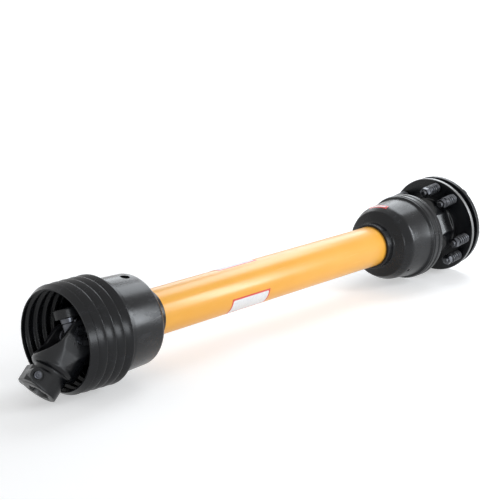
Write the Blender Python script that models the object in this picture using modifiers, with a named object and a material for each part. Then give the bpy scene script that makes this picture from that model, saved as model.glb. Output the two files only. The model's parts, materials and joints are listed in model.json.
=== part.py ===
"""A power take-off drive shaft for farm machines, lying on the ground.

Two universal joints carry two profile tubes that slide in each other. A plastic guard turns freely on
bearing rings round them, and a friction clutch with eight springs closes the implement end.
Lengths are in metres. Along the shaft, positions are measured from the first ridge of the bellows,
and they grow from the tractor end (-X) to the implement end (+X).
"""

import math

import bmesh
import bpy
from mathutils import Matrix, Vector

# Fits between pieces
GAP = 0.0003
RUNNING_GAP = 0.0006
CUT_MARGIN = 0.004

# Layout along the shaft
TRACTOR_JOINT = 0.025
IMPLEMENT_JOINT = 0.845
DRIVELINE_ROLL = math.radians(20)

# Universal joints
CUP_RADIUS = 0.0135
CUP_LENGTH = 0.0170
CUP_BEHIND_EAR_FACE = 0.0037
CUP_FLOOR = 0.0028
CUP_WALL = 0.0045
CIRCLIP_OVER_CUP = 0.0012
CIRCLIP_THICKNESS = 0.0015
CROSS_SHOULDER_WALL = 0.0035
NIPPLE_RADIUS = 0.0032
NIPPLE_LENGTH = 0.0110
NIPPLE_BOSS_RADIUS = 0.0045
EAR_WALL = 0.0075
EAR_INNER_FACE = 0.027
EAR_THICKNESS = 0.014
CROTCH_DEPTH = 0.046
FORK_BASE_RADIUS = 0.034
FORK_BASE_THICKNESS = 0.013
FORK_SHOULDER = 0.004
EAR_OUTER_FACE = EAR_INNER_FACE + EAR_THICKNESS
CUP_OUTER_END = EAR_OUTER_FACE - CUP_BEHIND_EAR_FACE
CUP_INNER_END = CUP_OUTER_END - CUP_LENGTH
CIRCLIP_RADIUS = CUP_RADIUS + CIRCLIP_OVER_CUP
TRUNNION_RADIUS = CUP_RADIUS - CUP_WALL
CROSS_SHOULDER_RADIUS = TRUNNION_RADIUS + CROSS_SHOULDER_WALL
EAR_RADIUS = CUP_RADIUS + EAR_WALL
FORK_BASE_END = CROTCH_DEPTH + FORK_BASE_THICKNESS

# Splines of both ends
SPLINE_COUNT = 6
SPLINE_MINOR_RADIUS = 0.0149
SPLINE_DEPTH = 0.0026
SPLINE_MAJOR_RADIUS = SPLINE_MINOR_RADIUS + SPLINE_DEPTH
SPLINE_SLOT_WIDTH = 0.0088

# Tractor yoke and its push pin
TRACTOR_HUB_WALL = 0.0075
TRACTOR_HUB_LENGTH = 0.0325
TRACTOR_HUB_RADIUS = SPLINE_MAJOR_RADIUS + TRACTOR_HUB_WALL
TRACTOR_HUB_END = FORK_BASE_END + TRACTOR_HUB_LENGTH
HUB_CHAMFER = 0.0015
PIN_BEFORE_HUB_END = 0.013
PIN_POSITION = TRACTOR_HUB_END - PIN_BEFORE_HUB_END
PIN_OVER_SPLINE = 0.0035
PIN_OFFSET = SPLINE_MAJOR_RADIUS + PIN_OVER_SPLINE
PIN_RADIUS = 0.0055
PIN_WAIST_RADIUS = 0.0030
PIN_TRAVEL = 0.010
PIN_BUTTON_STANDS_OUT = 0.0022
PIN_BLOCK_LENGTH = 0.024
PIN_BLOCK_WALL = 0.0100
PIN_BLOCK_HALF_WIDTH = 0.025
PIN_BOSS_RADIUS = 0.0105
PIN_BOSS_HEIGHT = 0.0018
PIN_BLOCK_BEVEL = 0.004

# Inner yokes, profile tubes and their spring pins
INNER_HUB_RADIUS = 0.031
TRACTOR_INNER_HUB_LENGTH = 0.066
IMPLEMENT_INNER_HUB_LENGTH = 0.0525
PROFILE_POCKET_FLOOR = 0.001
TRACTOR_INNER_HUB_END = FORK_BASE_END + TRACTOR_INNER_HUB_LENGTH
IMPLEMENT_INNER_HUB_END = FORK_BASE_END + IMPLEMENT_INNER_HUB_LENGTH
PROFILE_POCKET_START = FORK_BASE_END + PROFILE_POCKET_FLOOR
RING_GROOVE_DEPTH = 0.002
RING_END_COLLAR = 0.003
RING_WIDTH = 0.0092
RING_OVER_HUB = 0.006
RING_RADIUS = INNER_HUB_RADIUS + RING_OVER_HUB
RING_SPLIT = 0.004
INNER_HUB_WALL = 0.004
OUTER_PROFILE_RADIUS = INNER_HUB_RADIUS - INNER_HUB_WALL
PROFILE_CORNER_RADIUS = 0.0085
OUTER_PROFILE_WALL = 0.0035
INNER_PROFILE_WALL = 0.0040
PROFILE_SLIDING_GAP = 0.0004
INNER_PROFILE_START = 0.300
PROFILE_SEAT_GAP = 0.001
SPRING_PIN_RADIUS = 0.005
SPRING_PIN_WALL = 0.0016
SPRING_PIN_SLOT = 0.0012
SPRING_PIN_IN_POCKET = 0.018
SPRING_PIN_POSITION = PROFILE_POCKET_START + SPRING_PIN_IN_POCKET

# Guard: bellows and bell at the tractor end
BELL_FRONT = 0.058
BELL_FRONT_RADIUS = 0.0705
BELL_TAPER = 0.0028
BELL_LENGTH = 0.080
BELL_CORNER_RADIUS = 0.010
BELL_WALL = 0.003
BELL_BACK = BELL_FRONT + BELL_LENGTH
BELL_BACK_RADIUS = BELL_FRONT_RADIUS - BELL_TAPER
ACCESS_HOLE_BEFORE_BACK = 0.020
ACCESS_HOLE_POSITION = BELL_BACK - ACCESS_HOLE_BEFORE_BACK
ACCESS_HOLE_RADIUS = 0.007
RIDGE_COUNT = 5
RIDGE_PITCH = 0.0159
RIDGE_FIRST_OVER_BELL = 0.0077
RIDGE_LAST_OVER_BELL = 0.0092
RIDGE_FIRST_RADIUS = BELL_FRONT_RADIUS + RIDGE_FIRST_OVER_BELL
RIDGE_LAST_RADIUS = BELL_FRONT_RADIUS + RIDGE_LAST_OVER_BELL
RIDGE_DEPTH = 0.0042
RIDGE_BACK_LENGTH = 0.0022
BELLOWS_WALL = 0.0023
BELLOWS_CLEARANCE = 0.0014
LIP_LENGTH = 0.0095
LIP_UNDER_FIRST_RIDGE = 0.0040
LIP_RADIUS = RIDGE_FIRST_RADIUS - LIP_UNDER_FIRST_RIDGE
CUFF_LENGTH = 0.0085

# Guard: tubes and collars
TUBE_RADIUS = 0.035
TUBE_WALL = 0.0025
TUBE_SLIDING_GAP = 0.001
INNER_TUBE_RADIUS = TUBE_RADIUS - TUBE_WALL - TUBE_SLIDING_GAP
COLLAR_WALL = 0.005
COLLAR_RADIUS = TUBE_RADIUS + COLLAR_WALL
TRACTOR_COLLAR_LENGTH = 0.030
TRACTOR_COLLAR_END = BELL_BACK + TRACTOR_COLLAR_LENGTH
INNER_TUBE_START = 0.230

# Guard: cone at the implement end, built back from the joint that it covers
CONE_RIM_BEFORE_JOINT = 0.0165
CONE_RIM_LENGTH = 0.061
CONE_BODY_LENGTH = 0.018
CONE_SLOPE_LENGTH = 0.017
CONE_FOOT_LENGTH = 0.0105
CONE_SOCKET_DEPTH = 0.012
CONE_RIM = IMPLEMENT_JOINT - CONE_RIM_BEFORE_JOINT
CONE_STEP = CONE_RIM - CONE_RIM_LENGTH
CONE_BACK = CONE_STEP - CONE_BODY_LENGTH
CONE_FOOT = CONE_BACK - CONE_SLOPE_LENGTH
CONE_TUBE_STOP = CONE_FOOT - CONE_FOOT_LENGTH
CONE_MOUTH = CONE_TUBE_STOP - CONE_SOCKET_DEPTH
CONE_RIM_RADIUS = 0.0753
CONE_STEP_UNDER_RIM = 0.0048
CONE_BACK_UNDER_STEP = 0.0025
CONE_STEP_RADIUS = CONE_RIM_RADIUS - CONE_STEP_UNDER_RIM
CONE_BACK_RADIUS = CONE_STEP_RADIUS - CONE_BACK_UNDER_STEP
CONE_BACK_ROUNDING = 0.005
CONE_WALL = 0.003
CONE_BEAD_HEIGHT = 0.0016
TUBE_END_GAP = 0.002
OUTER_TUBE_END = CONE_TUBE_STOP - TUBE_END_GAP
PROFILE_INSIDE_TUBE = 0.030
OUTER_PROFILE_END = OUTER_TUBE_END - PROFILE_INSIDE_TUBE
CHAIN_HOLE_BEHIND_BACK = 0.0075
CHAIN_HOLE_POSITION = CONE_BACK + CHAIN_HOLE_BEHIND_BACK
CHAIN_HOLE_TURN = math.radians(-131)
CHAIN_HOLE_RADIUS = 0.003

# Friction clutch, measured from its joint's centre
PLATE_RADIUS = 0.0875
FLANGE_BEHIND_FORK = 0.001
FLANGE_FRONT = FORK_BASE_END + FLANGE_BEHIND_FORK
FLANGE_THICKNESS = 0.006
FLANGE_BOSS_RADIUS = 0.053
FLANGE_BOSS_HEIGHT = 0.008
FLANGE_HOLE_OVER_SPLINE = 0.0025
FLANGE_CENTRE_HOLE_RADIUS = SPLINE_MAJOR_RADIUS + FLANGE_HOLE_OVER_SPLINE
FLANGE_ARM_INSIDE_BOSS = 0.0045
FLANGE_ARM_FOOT = FLANGE_BOSS_RADIUS - FLANGE_ARM_INSIDE_BOSS
BOLTS_INSIDE_EDGE = 0.013
BOLT_PITCH_RADIUS = PLATE_RADIUS - BOLTS_INSIDE_EDGE
LINING_THICKNESS = 0.003
LINING_INSIDE_BOLTS = 0.006
LINING_WIDTH = 0.0225
LINING_RADIUS = BOLT_PITCH_RADIUS - LINING_INSIDE_BOLTS
LINING_INNER_RADIUS = LINING_RADIUS - LINING_WIDTH
DRIVE_PLATE_THICKNESS = 0.006
PRESSURE_PLATE_THICKNESS = 0.008
PRESSURE_PLATE_INSIDE_EDGE = 0.0015
PRESSURE_PLATE_RADIUS = PLATE_RADIUS - PRESSURE_PLATE_INSIDE_EDGE
CLUTCH_HUB_WALL = 0.0115
CLUTCH_HUB_RADIUS = SPLINE_MAJOR_RADIUS + CLUTCH_HUB_WALL
CLUTCH_HUB_STANDS_OUT = 0.023
BUSH_WALL = 0.0032
BOLT_PAIRS = 4
BOLT_PAIR_TURN = math.radians(45)
BOLT_PAIR_SPREAD = math.radians(30)
BOLT_RADIUS = 0.005
BOLT_HEAD_RADIUS = 0.0092
BOLT_HEAD_HEIGHT = 0.0062
NUT_HEIGHT = 0.0085
BOLT_END_BEYOND_NUT = 0.004
SPRING_RADIUS = 0.0094
SPRING_WIRE_RADIUS = 0.0018
SPRING_LENGTH = 0.0325
SPRING_ACTIVE_TURNS = 3.4
SPRING_CLOSED_PITCH = 0.0040
CLAMP_BOLT_RADIUS = 0.005
CLAMP_BOLT_OVER_SPLINE = 0.003
CLAMP_BOLT_OFFSET = SPLINE_MAJOR_RADIUS + CLAMP_BOLT_OVER_SPLINE
CLAMP_BOLT_GRIP = 0.024

# Facets
LARGE_STEPS = 32
GUARD_STEPS = 28
TUBE_STEPS = 20
HUB_STEPS = 16
SMALL_STEPS = 10
BOLT_STEPS = 8
NIPPLE_STEPS = 6
SPRING_POINTS_PER_TURN = 6

# Colours (red, green, blue), roughness and metallic value
FINISHES = {
    "black_plastic": ((0.018, 0.019, 0.021), 0.38, 0.0),
    "yellow_plastic": ((0.90, 0.50, 0.07), 0.35, 0.0),
    "black_paint": ((0.022, 0.023, 0.026), 0.35, 0.2),
    "bright_steel": ((0.55, 0.56, 0.58), 0.28, 1.0),
    "dark_steel": ((0.10, 0.10, 0.11), 0.42, 1.0),
    "white_nylon": ((0.75, 0.73, 0.67), 0.45, 0.0),
    "brown_lining": ((0.16, 0.11, 0.07), 0.85, 0.0),
}

# Turns that lay an object's own Z axis along X, Y or Z
ALONG = {"X": (0, math.pi / 2, 0), "Y": (-math.pi / 2, 0, 0), "Z": (0, 0, 0)}


# Values that follow from the sizes above
def floor_angles():
    """The axis height of a bellows on the ground, and the yoke droop and clutch tilt that just reach the ground."""
    height = RIDGE_LAST_RADIUS + BELLOWS_CLEARANCE
    hub_corner = math.hypot(TRACTOR_HUB_END, TRACTOR_HUB_RADIUS)
    droop = math.asin(height / hub_corner) - math.atan2(TRACTOR_HUB_RADIUS, TRACTOR_HUB_END)
    plate_corner = math.hypot(FLANGE_FRONT, PLATE_RADIUS)
    tilt = math.acos(height / plate_corner) - math.atan2(FLANGE_FRONT, PLATE_RADIUS)
    return height, droop, tilt


AXIS_HEIGHT, TRACTOR_DROOP, CLUTCH_TILT = floor_angles()
INNER_PROFILE_RADIUS = OUTER_PROFILE_RADIUS - OUTER_PROFILE_WALL - PROFILE_SLIDING_GAP
INNER_PROFILE_CORNER = PROFILE_CORNER_RADIUS - OUTER_PROFILE_WALL - PROFILE_SLIDING_GAP
GROOVE_RADIUS = INNER_HUB_RADIUS - RING_GROOVE_DEPTH
FRONT_LINING = FLANGE_FRONT + FLANGE_THICKNESS + GAP
DRIVE_PLATE = FRONT_LINING + LINING_THICKNESS + GAP
REAR_LINING = DRIVE_PLATE + DRIVE_PLATE_THICKNESS + GAP
PRESSURE_PLATE = REAR_LINING + LINING_THICKNESS + GAP
CLUTCH_BACK = PRESSURE_PLATE + PRESSURE_PLATE_THICKNESS
CLUTCH_HUB_END = CLUTCH_BACK + CLUTCH_HUB_STANDS_OUT
SPRING_FRONT = FLANGE_FRONT - GAP - SPRING_LENGTH
NUT_FRONT = SPRING_FRONT - GAP - NUT_HEIGHT
BOLT_FRONT = NUT_FRONT - BOLT_END_BEYOND_NUT


# Scene, collections and materials
for old in list(bpy.data.objects):
    bpy.data.objects.remove(old, do_unlink=True)

PARTS = bpy.data.collections.new("pto_drive_shaft")
HELPERS = bpy.data.collections.new("cutters")
HELPERS.hide_render = True
for group in (PARTS, HELPERS):
    bpy.context.scene.collection.children.link(group)


def make_material(name):
    """A Principled material with the colour, roughness and metallic value of one finish."""
    colour, roughness, metallic = FINISHES[name]
    made = bpy.data.materials.new(name)
    made.use_nodes = True
    shader = made.node_tree.nodes["Principled BSDF"]
    shader.inputs["Base Color"].default_value = (*colour, 1)
    shader.inputs["Roughness"].default_value = roughness
    shader.inputs["Metallic"].default_value = metallic
    return made


MATERIALS = {name: make_material(name) for name in FINISHES}


# Frames: empties that stand on the joint axes
def make_frame(name, parent=None, location=(0, 0, 0), rotation=(0, 0, 0)):
    """An empty that other objects are placed on."""
    frame = bpy.data.objects.new(name, None)
    frame.empty_display_size = 0.05
    frame.parent = parent
    frame.location = location
    frame.rotation_euler = rotation
    PARTS.objects.link(frame)
    return frame


def joint_turns(side, lean):
    """Yaw of the cross and pitch of the outboard yoke that lean it by an angle in the upright plane.

    side is -1 where the yoke points to the tractor and 1 where it points to the implement.
    """
    direction = Vector((side * math.cos(lean), 0, math.sin(lean)))
    direction = Matrix.Rotation(DRIVELINE_ROLL, 3, "X") @ direction
    pitch = -side * math.asin(direction.z)
    yaw = math.asin(side * direction.y / math.cos(pitch))
    return yaw, pitch


def joint_frames(name, parent, position, side, lean):
    """The frames of a cross and of the yoke outboard of it."""
    yaw, pitch = joint_turns(side, lean)
    cross = make_frame(f"{name}_cross_frame", parent, (position, 0, 0), (0, 0, yaw))
    yoke = make_frame(f"{name}_yoke_frame", cross, rotation=(0, pitch, 0))
    return cross, yoke


SHAFT = make_frame("shaft_frame", location=(0, 0, AXIS_HEIGHT))
DRIVELINE = make_frame("driveline_frame", SHAFT, rotation=(-DRIVELINE_ROLL, 0, 0))
TRACTOR_CROSS, TRACTOR_YOKE = joint_frames("tractor", DRIVELINE, TRACTOR_JOINT, -1, -TRACTOR_DROOP)
CLUTCH_CROSS, CLUTCH_YOKE = joint_frames("clutch", DRIVELINE, IMPLEMENT_JOINT, 1, CLUTCH_TILT)
PIN_FRAME = make_frame("release_pin_frame", TRACTOR_YOKE, (-PIN_POSITION, 0, PIN_OFFSET))


# Objects and modifiers
def place(name, data, frame, location=(0, 0, 0), rotation=(0, 0, 0), finish=None):
    """An object on a frame: a sub-part where a finish is given, and otherwise a helper."""
    obj = bpy.data.objects.new(name, data)
    obj.parent = frame
    obj.location = location
    obj.rotation_euler = rotation
    if finish:
        PARTS.objects.link(obj)
        if not data.materials:
            data.materials.append(MATERIALS[finish])
    else:
        HELPERS.objects.link(obj)
        obj.hide_render = True
        obj.display_type = "WIRE"
    return obj


def boolean(target, operation, *others):
    """Joins, cuts or intersects the target with each of the helpers."""
    for other in others:
        modifier = target.modifiers.new(operation.title(), "BOOLEAN")
        modifier.operation = operation
        modifier.solver = "EXACT"
        modifier.object = other
    return target


def baked_mesh(name, obj):
    """The mesh that an object's modifiers give. The object is removed."""
    bpy.context.view_layer.update()
    graph = bpy.context.evaluated_depsgraph_get()
    mesh = bpy.data.meshes.new_from_object(obj.evaluated_get(graph))
    mesh.name = name
    welded = bmesh.new()
    welded.from_mesh(mesh)
    bmesh.ops.remove_doubles(welded, verts=welded.verts, dist=1e-6)
    welded.to_mesh(mesh)
    welded.free()
    mesh.shade_smooth()
    mesh.set_sharp_from_angle(angle=math.radians(35))
    bpy.data.objects.remove(obj, do_unlink=True)
    return mesh


# Shapes
def arc(centre, radius, start, end, count):
    """Points along an arc, both ends included, with angles in degrees."""
    turns = [math.radians(start + (end - start) * i / (count - 1)) for i in range(count)]
    return [(centre[0] + radius * math.cos(t), centre[1] + radius * math.sin(t)) for t in turns]


def circle(centre, radius, count):
    """The corners of a regular outline, such as a hexagon or a round hole."""
    return arc(centre, radius, 0, 360 - 360 / count, count)


def mirrored(points):
    """An outline from its half above the X axis, run from one end to the other."""
    return points + [(x, -y) for x, y in reversed(points) if y > 0]


def bore_radius(radius, steps):
    """The corner radius of a faceted bore whose flats clear a round piece that turns in it."""
    return (radius + GAP) / math.cos(math.pi / steps)


def signed_area(points):
    return sum(a[0] * b[1] - b[0] * a[1] for a, b in zip(points, points[1:] + points[:1])) / 2


def turned_data(name, profile, closed=True):
    """A mesh with a profile of (along, radius) points, ready for a Screw modifier round its Z axis."""
    points = [(radius, along) for along, radius in profile]
    if closed and signed_area(points) > 0:
        points.reverse()
    shape = bmesh.new()
    verts = [shape.verts.new((x, 0, z)) for x, z in points]
    for first, second in zip(verts, verts[1:]):
        shape.edges.new((first, second))
    if closed:
        shape.edges.new((verts[-1], verts[0]))
    mesh = bpy.data.meshes.new(name)
    shape.to_mesh(mesh)
    shape.free()
    return mesh


def turned(name, profile, frame, along="X", steps=TUBE_STEPS, location=(0, 0, 0), finish=None, closed=True):
    """A turned shape: its profile of (along, radius) points goes once round the given axis."""
    data = turned_data(name, profile, closed)
    obj = place(name, data, frame, location, ALONG[along], finish)
    screw = obj.modifiers.new("Turn", "SCREW")
    screw.axis = "Z"
    screw.angle = 2 * math.pi
    screw.steps = steps
    screw.render_steps = steps
    screw.use_merge_vertices = True
    screw.merge_threshold = 0.00001
    screw.use_smooth_shade = True
    return obj


def tube_profile(start, end, outer, inner):
    return [(start, inner), (start, outer), (end, outer), (end, inner)]


def rod_profile(start, end, radius, chamfer=0):
    """A solid rod's profile, from axis to axis."""
    if not chamfer:
        return [(start, 0), (start, radius), (end, radius), (end, 0)]
    inside = radius - chamfer
    return [(start, 0), (start, inside), (start + chamfer, radius),
            (end - chamfer, radius), (end, inside), (end, 0)]


def outline_mesh(name, outlines, start, end):
    """A mesh with flat outlines, the later ones as holes, extruded along Z from start to end."""
    curve = bpy.data.curves.new(name, "CURVE")
    curve.dimensions = "2D"
    curve.fill_mode = "BOTH"
    curve.extrude = (end - start) / 2
    for outline in outlines:
        spline = curve.splines.new("POLY")
        spline.points.add(len(outline) - 1)
        for point, (x, y) in zip(spline.points, outline):
            point.co = (x, y, 0, 1)
        spline.use_cyclic_u = True
    flat = bpy.data.objects.new(name, curve)
    HELPERS.objects.link(flat)
    mesh = baked_mesh(name, flat)
    mesh.transform(Matrix.Translation((0, 0, (start + end) / 2)))
    outward = bmesh.new()
    outward.from_mesh(mesh)
    bmesh.ops.recalc_face_normals(outward, faces=outward.faces)
    outward.to_mesh(mesh)
    outward.free()
    bpy.data.curves.remove(curve)
    return mesh


def spline_outline(minor, major, slot):
    """The outline of a splined bore: arcs at the minor radius with a slot for each tooth."""
    points = []
    half_major = math.degrees(math.asin(slot / 2 / major))
    half_minor = math.degrees(math.asin(slot / 2 / minor))
    step = 360 / SPLINE_COUNT
    for tooth in range(SPLINE_COUNT):
        middle = tooth * step
        points += arc((0, 0), major, middle - half_major, middle + half_major, 3)
        points += arc((0, 0), minor, middle + half_minor, middle + step - half_minor, 2)
    return points


def profile_outline(radius, corner, count=5):
    """A triangle with round corners: the section of the telescoping tubes."""
    points = []
    for turn in (0, 120, 240):
        reach = radius - corner
        centre = (reach * math.cos(math.radians(turn)), reach * math.sin(math.radians(turn)))
        points += arc(centre, corner, turn - 60, turn + 60, count)
    return points


# Forks of the yokes
def fork(name, frame, rotation, base_radius, arm_foot, finish):
    """Two ears and the arms that join them to a round base, where the plan, side and round forms meet."""
    blend = EAR_INNER_FACE
    inside = arc((CROTCH_DEPTH - blend, 0), blend, 0, 90, 5)
    ear_end = -EAR_RADIUS - CUT_MARGIN
    outside = [(ear_end, EAR_INNER_FACE), (ear_end, EAR_OUTER_FACE), (EAR_RADIUS * 0.45, EAR_OUTER_FACE)]
    foot = FORK_BASE_END - FORK_SHOULDER
    middle = ((EAR_RADIUS * 0.45 + foot) / 2, (EAR_OUTER_FACE + arm_foot) / 2 + 0.0012)
    outside += [middle, (foot, arm_foot), (FORK_BASE_END, arm_foot - FORK_SHOULDER)]
    plan = mirrored(inside + outside)
    side_half = list(reversed(arc((0, 0), EAR_RADIUS, 90, 180, 5)))
    side_half += [(EAR_RADIUS * 1.2, EAR_RADIUS * 1.03), (CROTCH_DEPTH * 0.85, (EAR_RADIUS + base_radius) / 2)]
    side_half += [(foot - FORK_SHOULDER, base_radius), (FORK_BASE_END, base_radius)]
    side = mirrored(side_half)
    ear_corner = math.hypot(EAR_RADIUS, EAR_OUTER_FACE) + 0.0005
    round_form = [(ear_end, 0), (ear_end, ear_corner), (EAR_RADIUS * 0.6, ear_corner)]
    round_form += [(foot - FORK_SHOULDER, base_radius), (foot, base_radius)]
    round_form += [(FORK_BASE_END, base_radius - FORK_SHOULDER), (FORK_BASE_END, 0)]
    reach = 2 * (EAR_OUTER_FACE + base_radius)
    body = place(name, outline_mesh(name, [plan], -reach, reach), frame, rotation=rotation, finish=finish)
    side_cutter = place(f"{name}_side", outline_mesh(f"{name}_side", [side], -reach, reach), body,
                        rotation=(math.pi / 2, 0, 0))
    round_cutter = turned(f"{name}_round", round_form, body, steps=HUB_STEPS)
    return boolean(body, "INTERSECT", side_cutter, round_cutter)


def cup_bores(name, body):
    """The cutter for both cup bores of a fork, with the wider seats of the circlips."""
    bore = CUP_RADIUS + GAP
    seat = CIRCLIP_RADIUS + GAP
    end = EAR_OUTER_FACE + CUT_MARGIN
    profile = [(-end, 0), (-end, seat), (-CUP_OUTER_END, seat), (-CUP_OUTER_END, bore),
               (CUP_OUTER_END, bore), (CUP_OUTER_END, seat), (end, seat), (end, 0)]
    return turned(f"{name}_cup_bores", profile, body, "Y", steps=SMALL_STEPS)


def splined_cutter(name, body, start, end):
    outline = spline_outline(SPLINE_MINOR_RADIUS, SPLINE_MAJOR_RADIUS, SPLINE_SLOT_WIDTH)
    mesh = outline_mesh(f"{name}_spline", [outline], start, end)
    return place(f"{name}_spline", mesh, body, rotation=ALONG["X"])


def make_tractor_yoke():
    """The drooping yoke that slides on the tractor's splined shaft, with a block for its push pin."""
    name = "tractor_yoke"
    body = fork(name, TRACTOR_YOKE, (0, 0, math.pi), FORK_BASE_RADIUS, FORK_BASE_RADIUS - 0.001, "black_paint")
    root = CROTCH_DEPTH + FORK_SHOULDER
    barrel = turned(f"{name}_barrel", [(root, 0), (root, TRACTOR_HUB_RADIUS),
                                       (TRACTOR_HUB_END - HUB_CHAMFER, TRACTOR_HUB_RADIUS),
                                       (TRACTOR_HUB_END, TRACTOR_HUB_RADIUS - HUB_CHAMFER),
                                       (TRACTOR_HUB_END, 0)], body, steps=HUB_STEPS)
    block_top = PIN_OFFSET + PIN_BLOCK_WALL
    bpy.ops.mesh.primitive_cube_add(size=1)
    cube = bpy.context.object
    cube.data.transform(Matrix.Diagonal((PIN_BLOCK_LENGTH, 2 * PIN_BLOCK_HALF_WIDTH, block_top, 1)))
    bevel = cube.modifiers.new("Round", "BEVEL")
    bevel.width = PIN_BLOCK_BEVEL
    bevel.segments = 2
    block = place(f"{name}_block", baked_mesh(f"{name}_block", cube), body,
                  (PIN_POSITION, 0, block_top / 2))
    boss_face = PIN_BLOCK_HALF_WIDTH + PIN_BOSS_HEIGHT
    boss = turned(f"{name}_boss", rod_profile(0, boss_face, PIN_BOSS_RADIUS), body, "Y", HUB_STEPS,
                  (PIN_POSITION, 0, PIN_OFFSET))
    pin_bore = turned(f"{name}_pin_bore",
                      rod_profile(-PIN_BLOCK_HALF_WIDTH * 0.8, boss_face + CUT_MARGIN, PIN_RADIUS + GAP),
                      body, "Y", SMALL_STEPS, (PIN_POSITION, 0, PIN_OFFSET))
    recess = turned(f"{name}_pin_recess", rod_profile(boss_face - PIN_BOSS_HEIGHT, boss_face + CUT_MARGIN,
                                                      PIN_RADIUS + 0.0020),
                    body, "Y", SMALL_STEPS, (PIN_POSITION, 0, PIN_OFFSET))
    boolean(body, "UNION", barrel, block, boss)
    spline = splined_cutter(name, body, 0, TRACTOR_HUB_END + CUT_MARGIN)
    boolean(body, "DIFFERENCE", cup_bores(name, body), spline, pin_bore, recess)


def make_release_pin():
    """The sprung push pin. Its thick part locks the shaft's groove, and its waist frees it when pushed in."""
    button = PIN_BLOCK_HALF_WIDTH + PIN_BOSS_HEIGHT + PIN_BUTTON_STANDS_OUT
    waist_end = button - PIN_TRAVEL
    waist_start = PIN_TRAVEL * 0.6
    thick_start = -PIN_TRAVEL * 0.6
    profile = [(thick_start, 0), (thick_start, PIN_RADIUS), (waist_start, PIN_RADIUS),
               (waist_start + 0.002, PIN_WAIST_RADIUS), (waist_end - 0.002, PIN_WAIST_RADIUS),
               (waist_end, PIN_RADIUS), (button - 0.001, PIN_RADIUS), (button, PIN_RADIUS - 0.001),
               (button, 0)]
    pin = turned("release_pin", [(-along, radius) for along, radius in profile], PIN_FRAME, "Y",
                 SMALL_STEPS, finish="bright_steel")
    return pin


def make_inner_yoke(name, position, turn, hub_end, section):
    """A yoke inboard of a joint: its hub takes a profile tube and carries the guard's bearing ring."""
    root = CROTCH_DEPTH + FORK_SHOULDER
    body = fork(name, DRIVELINE, (math.pi / 2, 0, turn), FORK_BASE_RADIUS, FORK_BASE_RADIUS - 0.001, "black_paint")
    body.location = (position, 0, 0)
    groove_end = hub_end - RING_END_COLLAR
    groove_start = groove_end - RING_WIDTH - 2 * GAP
    hub = turned(f"{name}_hub", [(root, 0), (root, INNER_HUB_RADIUS), (groove_start, INNER_HUB_RADIUS),
                                 (groove_start, GROOVE_RADIUS), (groove_end, GROOVE_RADIUS),
                                 (groove_end, INNER_HUB_RADIUS), (hub_end, INNER_HUB_RADIUS), (hub_end, 0)],
                 body, steps=HUB_STEPS)
    upright = [(y, -x) for x, y in section]
    pocket = place(f"{name}_pocket", outline_mesh(f"{name}_pocket", [upright], PROFILE_POCKET_START,
                                                  hub_end + CUT_MARGIN), body, rotation=ALONG["X"])
    pin_bore = turned(f"{name}_pin_bore", rod_profile(-INNER_HUB_RADIUS - CUT_MARGIN,
                                                      INNER_HUB_RADIUS + CUT_MARGIN,
                                                      SPRING_PIN_RADIUS + GAP),
                      body, "Z", SMALL_STEPS, (SPRING_PIN_POSITION, 0, 0))
    boolean(body, "UNION", hub)
    boolean(body, "DIFFERENCE", cup_bores(name, body), pocket, pin_bore)


def make_profile_tube(name, radius, corner, wall, start, end, pin_position):
    """A tube of rounded triangular section, with a hole for its spring pin."""
    outer = profile_outline(radius, corner)
    inner = profile_outline(radius - wall, max(corner - wall, corner * 0.3), 4)
    mesh = outline_mesh(name, [outer, inner], start, end)
    body = place(name, mesh, DRIVELINE, rotation=ALONG["X"], finish="dark_steel")
    hole = turned(f"{name}_hole", rod_profile(-2 * radius, 2 * radius, SPRING_PIN_RADIUS + GAP), DRIVELINE,
                  "Y", SMALL_STEPS, (pin_position, 0, 0))
    boolean(body, "DIFFERENCE", hole)


def make_spring_pin(name, position):
    """A slotted spring pin, rolled from strip, that holds a yoke on its profile tube."""
    slot = math.degrees(SPRING_PIN_SLOT / SPRING_PIN_RADIUS / 2)
    outline = arc((0, 0), SPRING_PIN_RADIUS, slot, 360 - slot, SMALL_STEPS)
    outline += arc((0, 0), SPRING_PIN_RADIUS - SPRING_PIN_WALL, 360 - 1.5 * slot, 1.5 * slot, SMALL_STEPS)
    reach = INNER_HUB_RADIUS - HUB_CHAMFER
    place(name, outline_mesh(name, [outline], -reach, reach), DRIVELINE, (position, 0, 0), ALONG["Y"],
          "bright_steel")


def make_shafts():
    """Both inner yokes, the profile tubes that slide in each other and their spring pins."""
    outer_end = TRACTOR_JOINT + PROFILE_POCKET_START + PROFILE_SEAT_GAP
    inner_end = IMPLEMENT_JOINT - PROFILE_POCKET_START - PROFILE_SEAT_GAP
    outer_pin = TRACTOR_JOINT + SPRING_PIN_POSITION
    inner_pin = IMPLEMENT_JOINT - SPRING_PIN_POSITION
    outer_section = profile_outline(OUTER_PROFILE_RADIUS + GAP, PROFILE_CORNER_RADIUS + GAP)
    inner_section = profile_outline(INNER_PROFILE_RADIUS + GAP, INNER_PROFILE_CORNER + GAP)
    make_inner_yoke("outer_shaft_yoke", TRACTOR_JOINT, 0, TRACTOR_INNER_HUB_END,
                    outer_section)
    make_inner_yoke("inner_shaft_yoke", IMPLEMENT_JOINT, math.pi, IMPLEMENT_INNER_HUB_END,
                    inner_section)
    make_profile_tube("outer_profile_tube", OUTER_PROFILE_RADIUS, PROFILE_CORNER_RADIUS, OUTER_PROFILE_WALL,
                      outer_end, OUTER_PROFILE_END, outer_pin)
    make_profile_tube("inner_profile_tube", INNER_PROFILE_RADIUS, INNER_PROFILE_CORNER, INNER_PROFILE_WALL,
                      INNER_PROFILE_START, inner_end, inner_pin)
    make_spring_pin("outer_spring_pin", outer_pin)
    make_spring_pin("inner_spring_pin", inner_pin)


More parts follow.
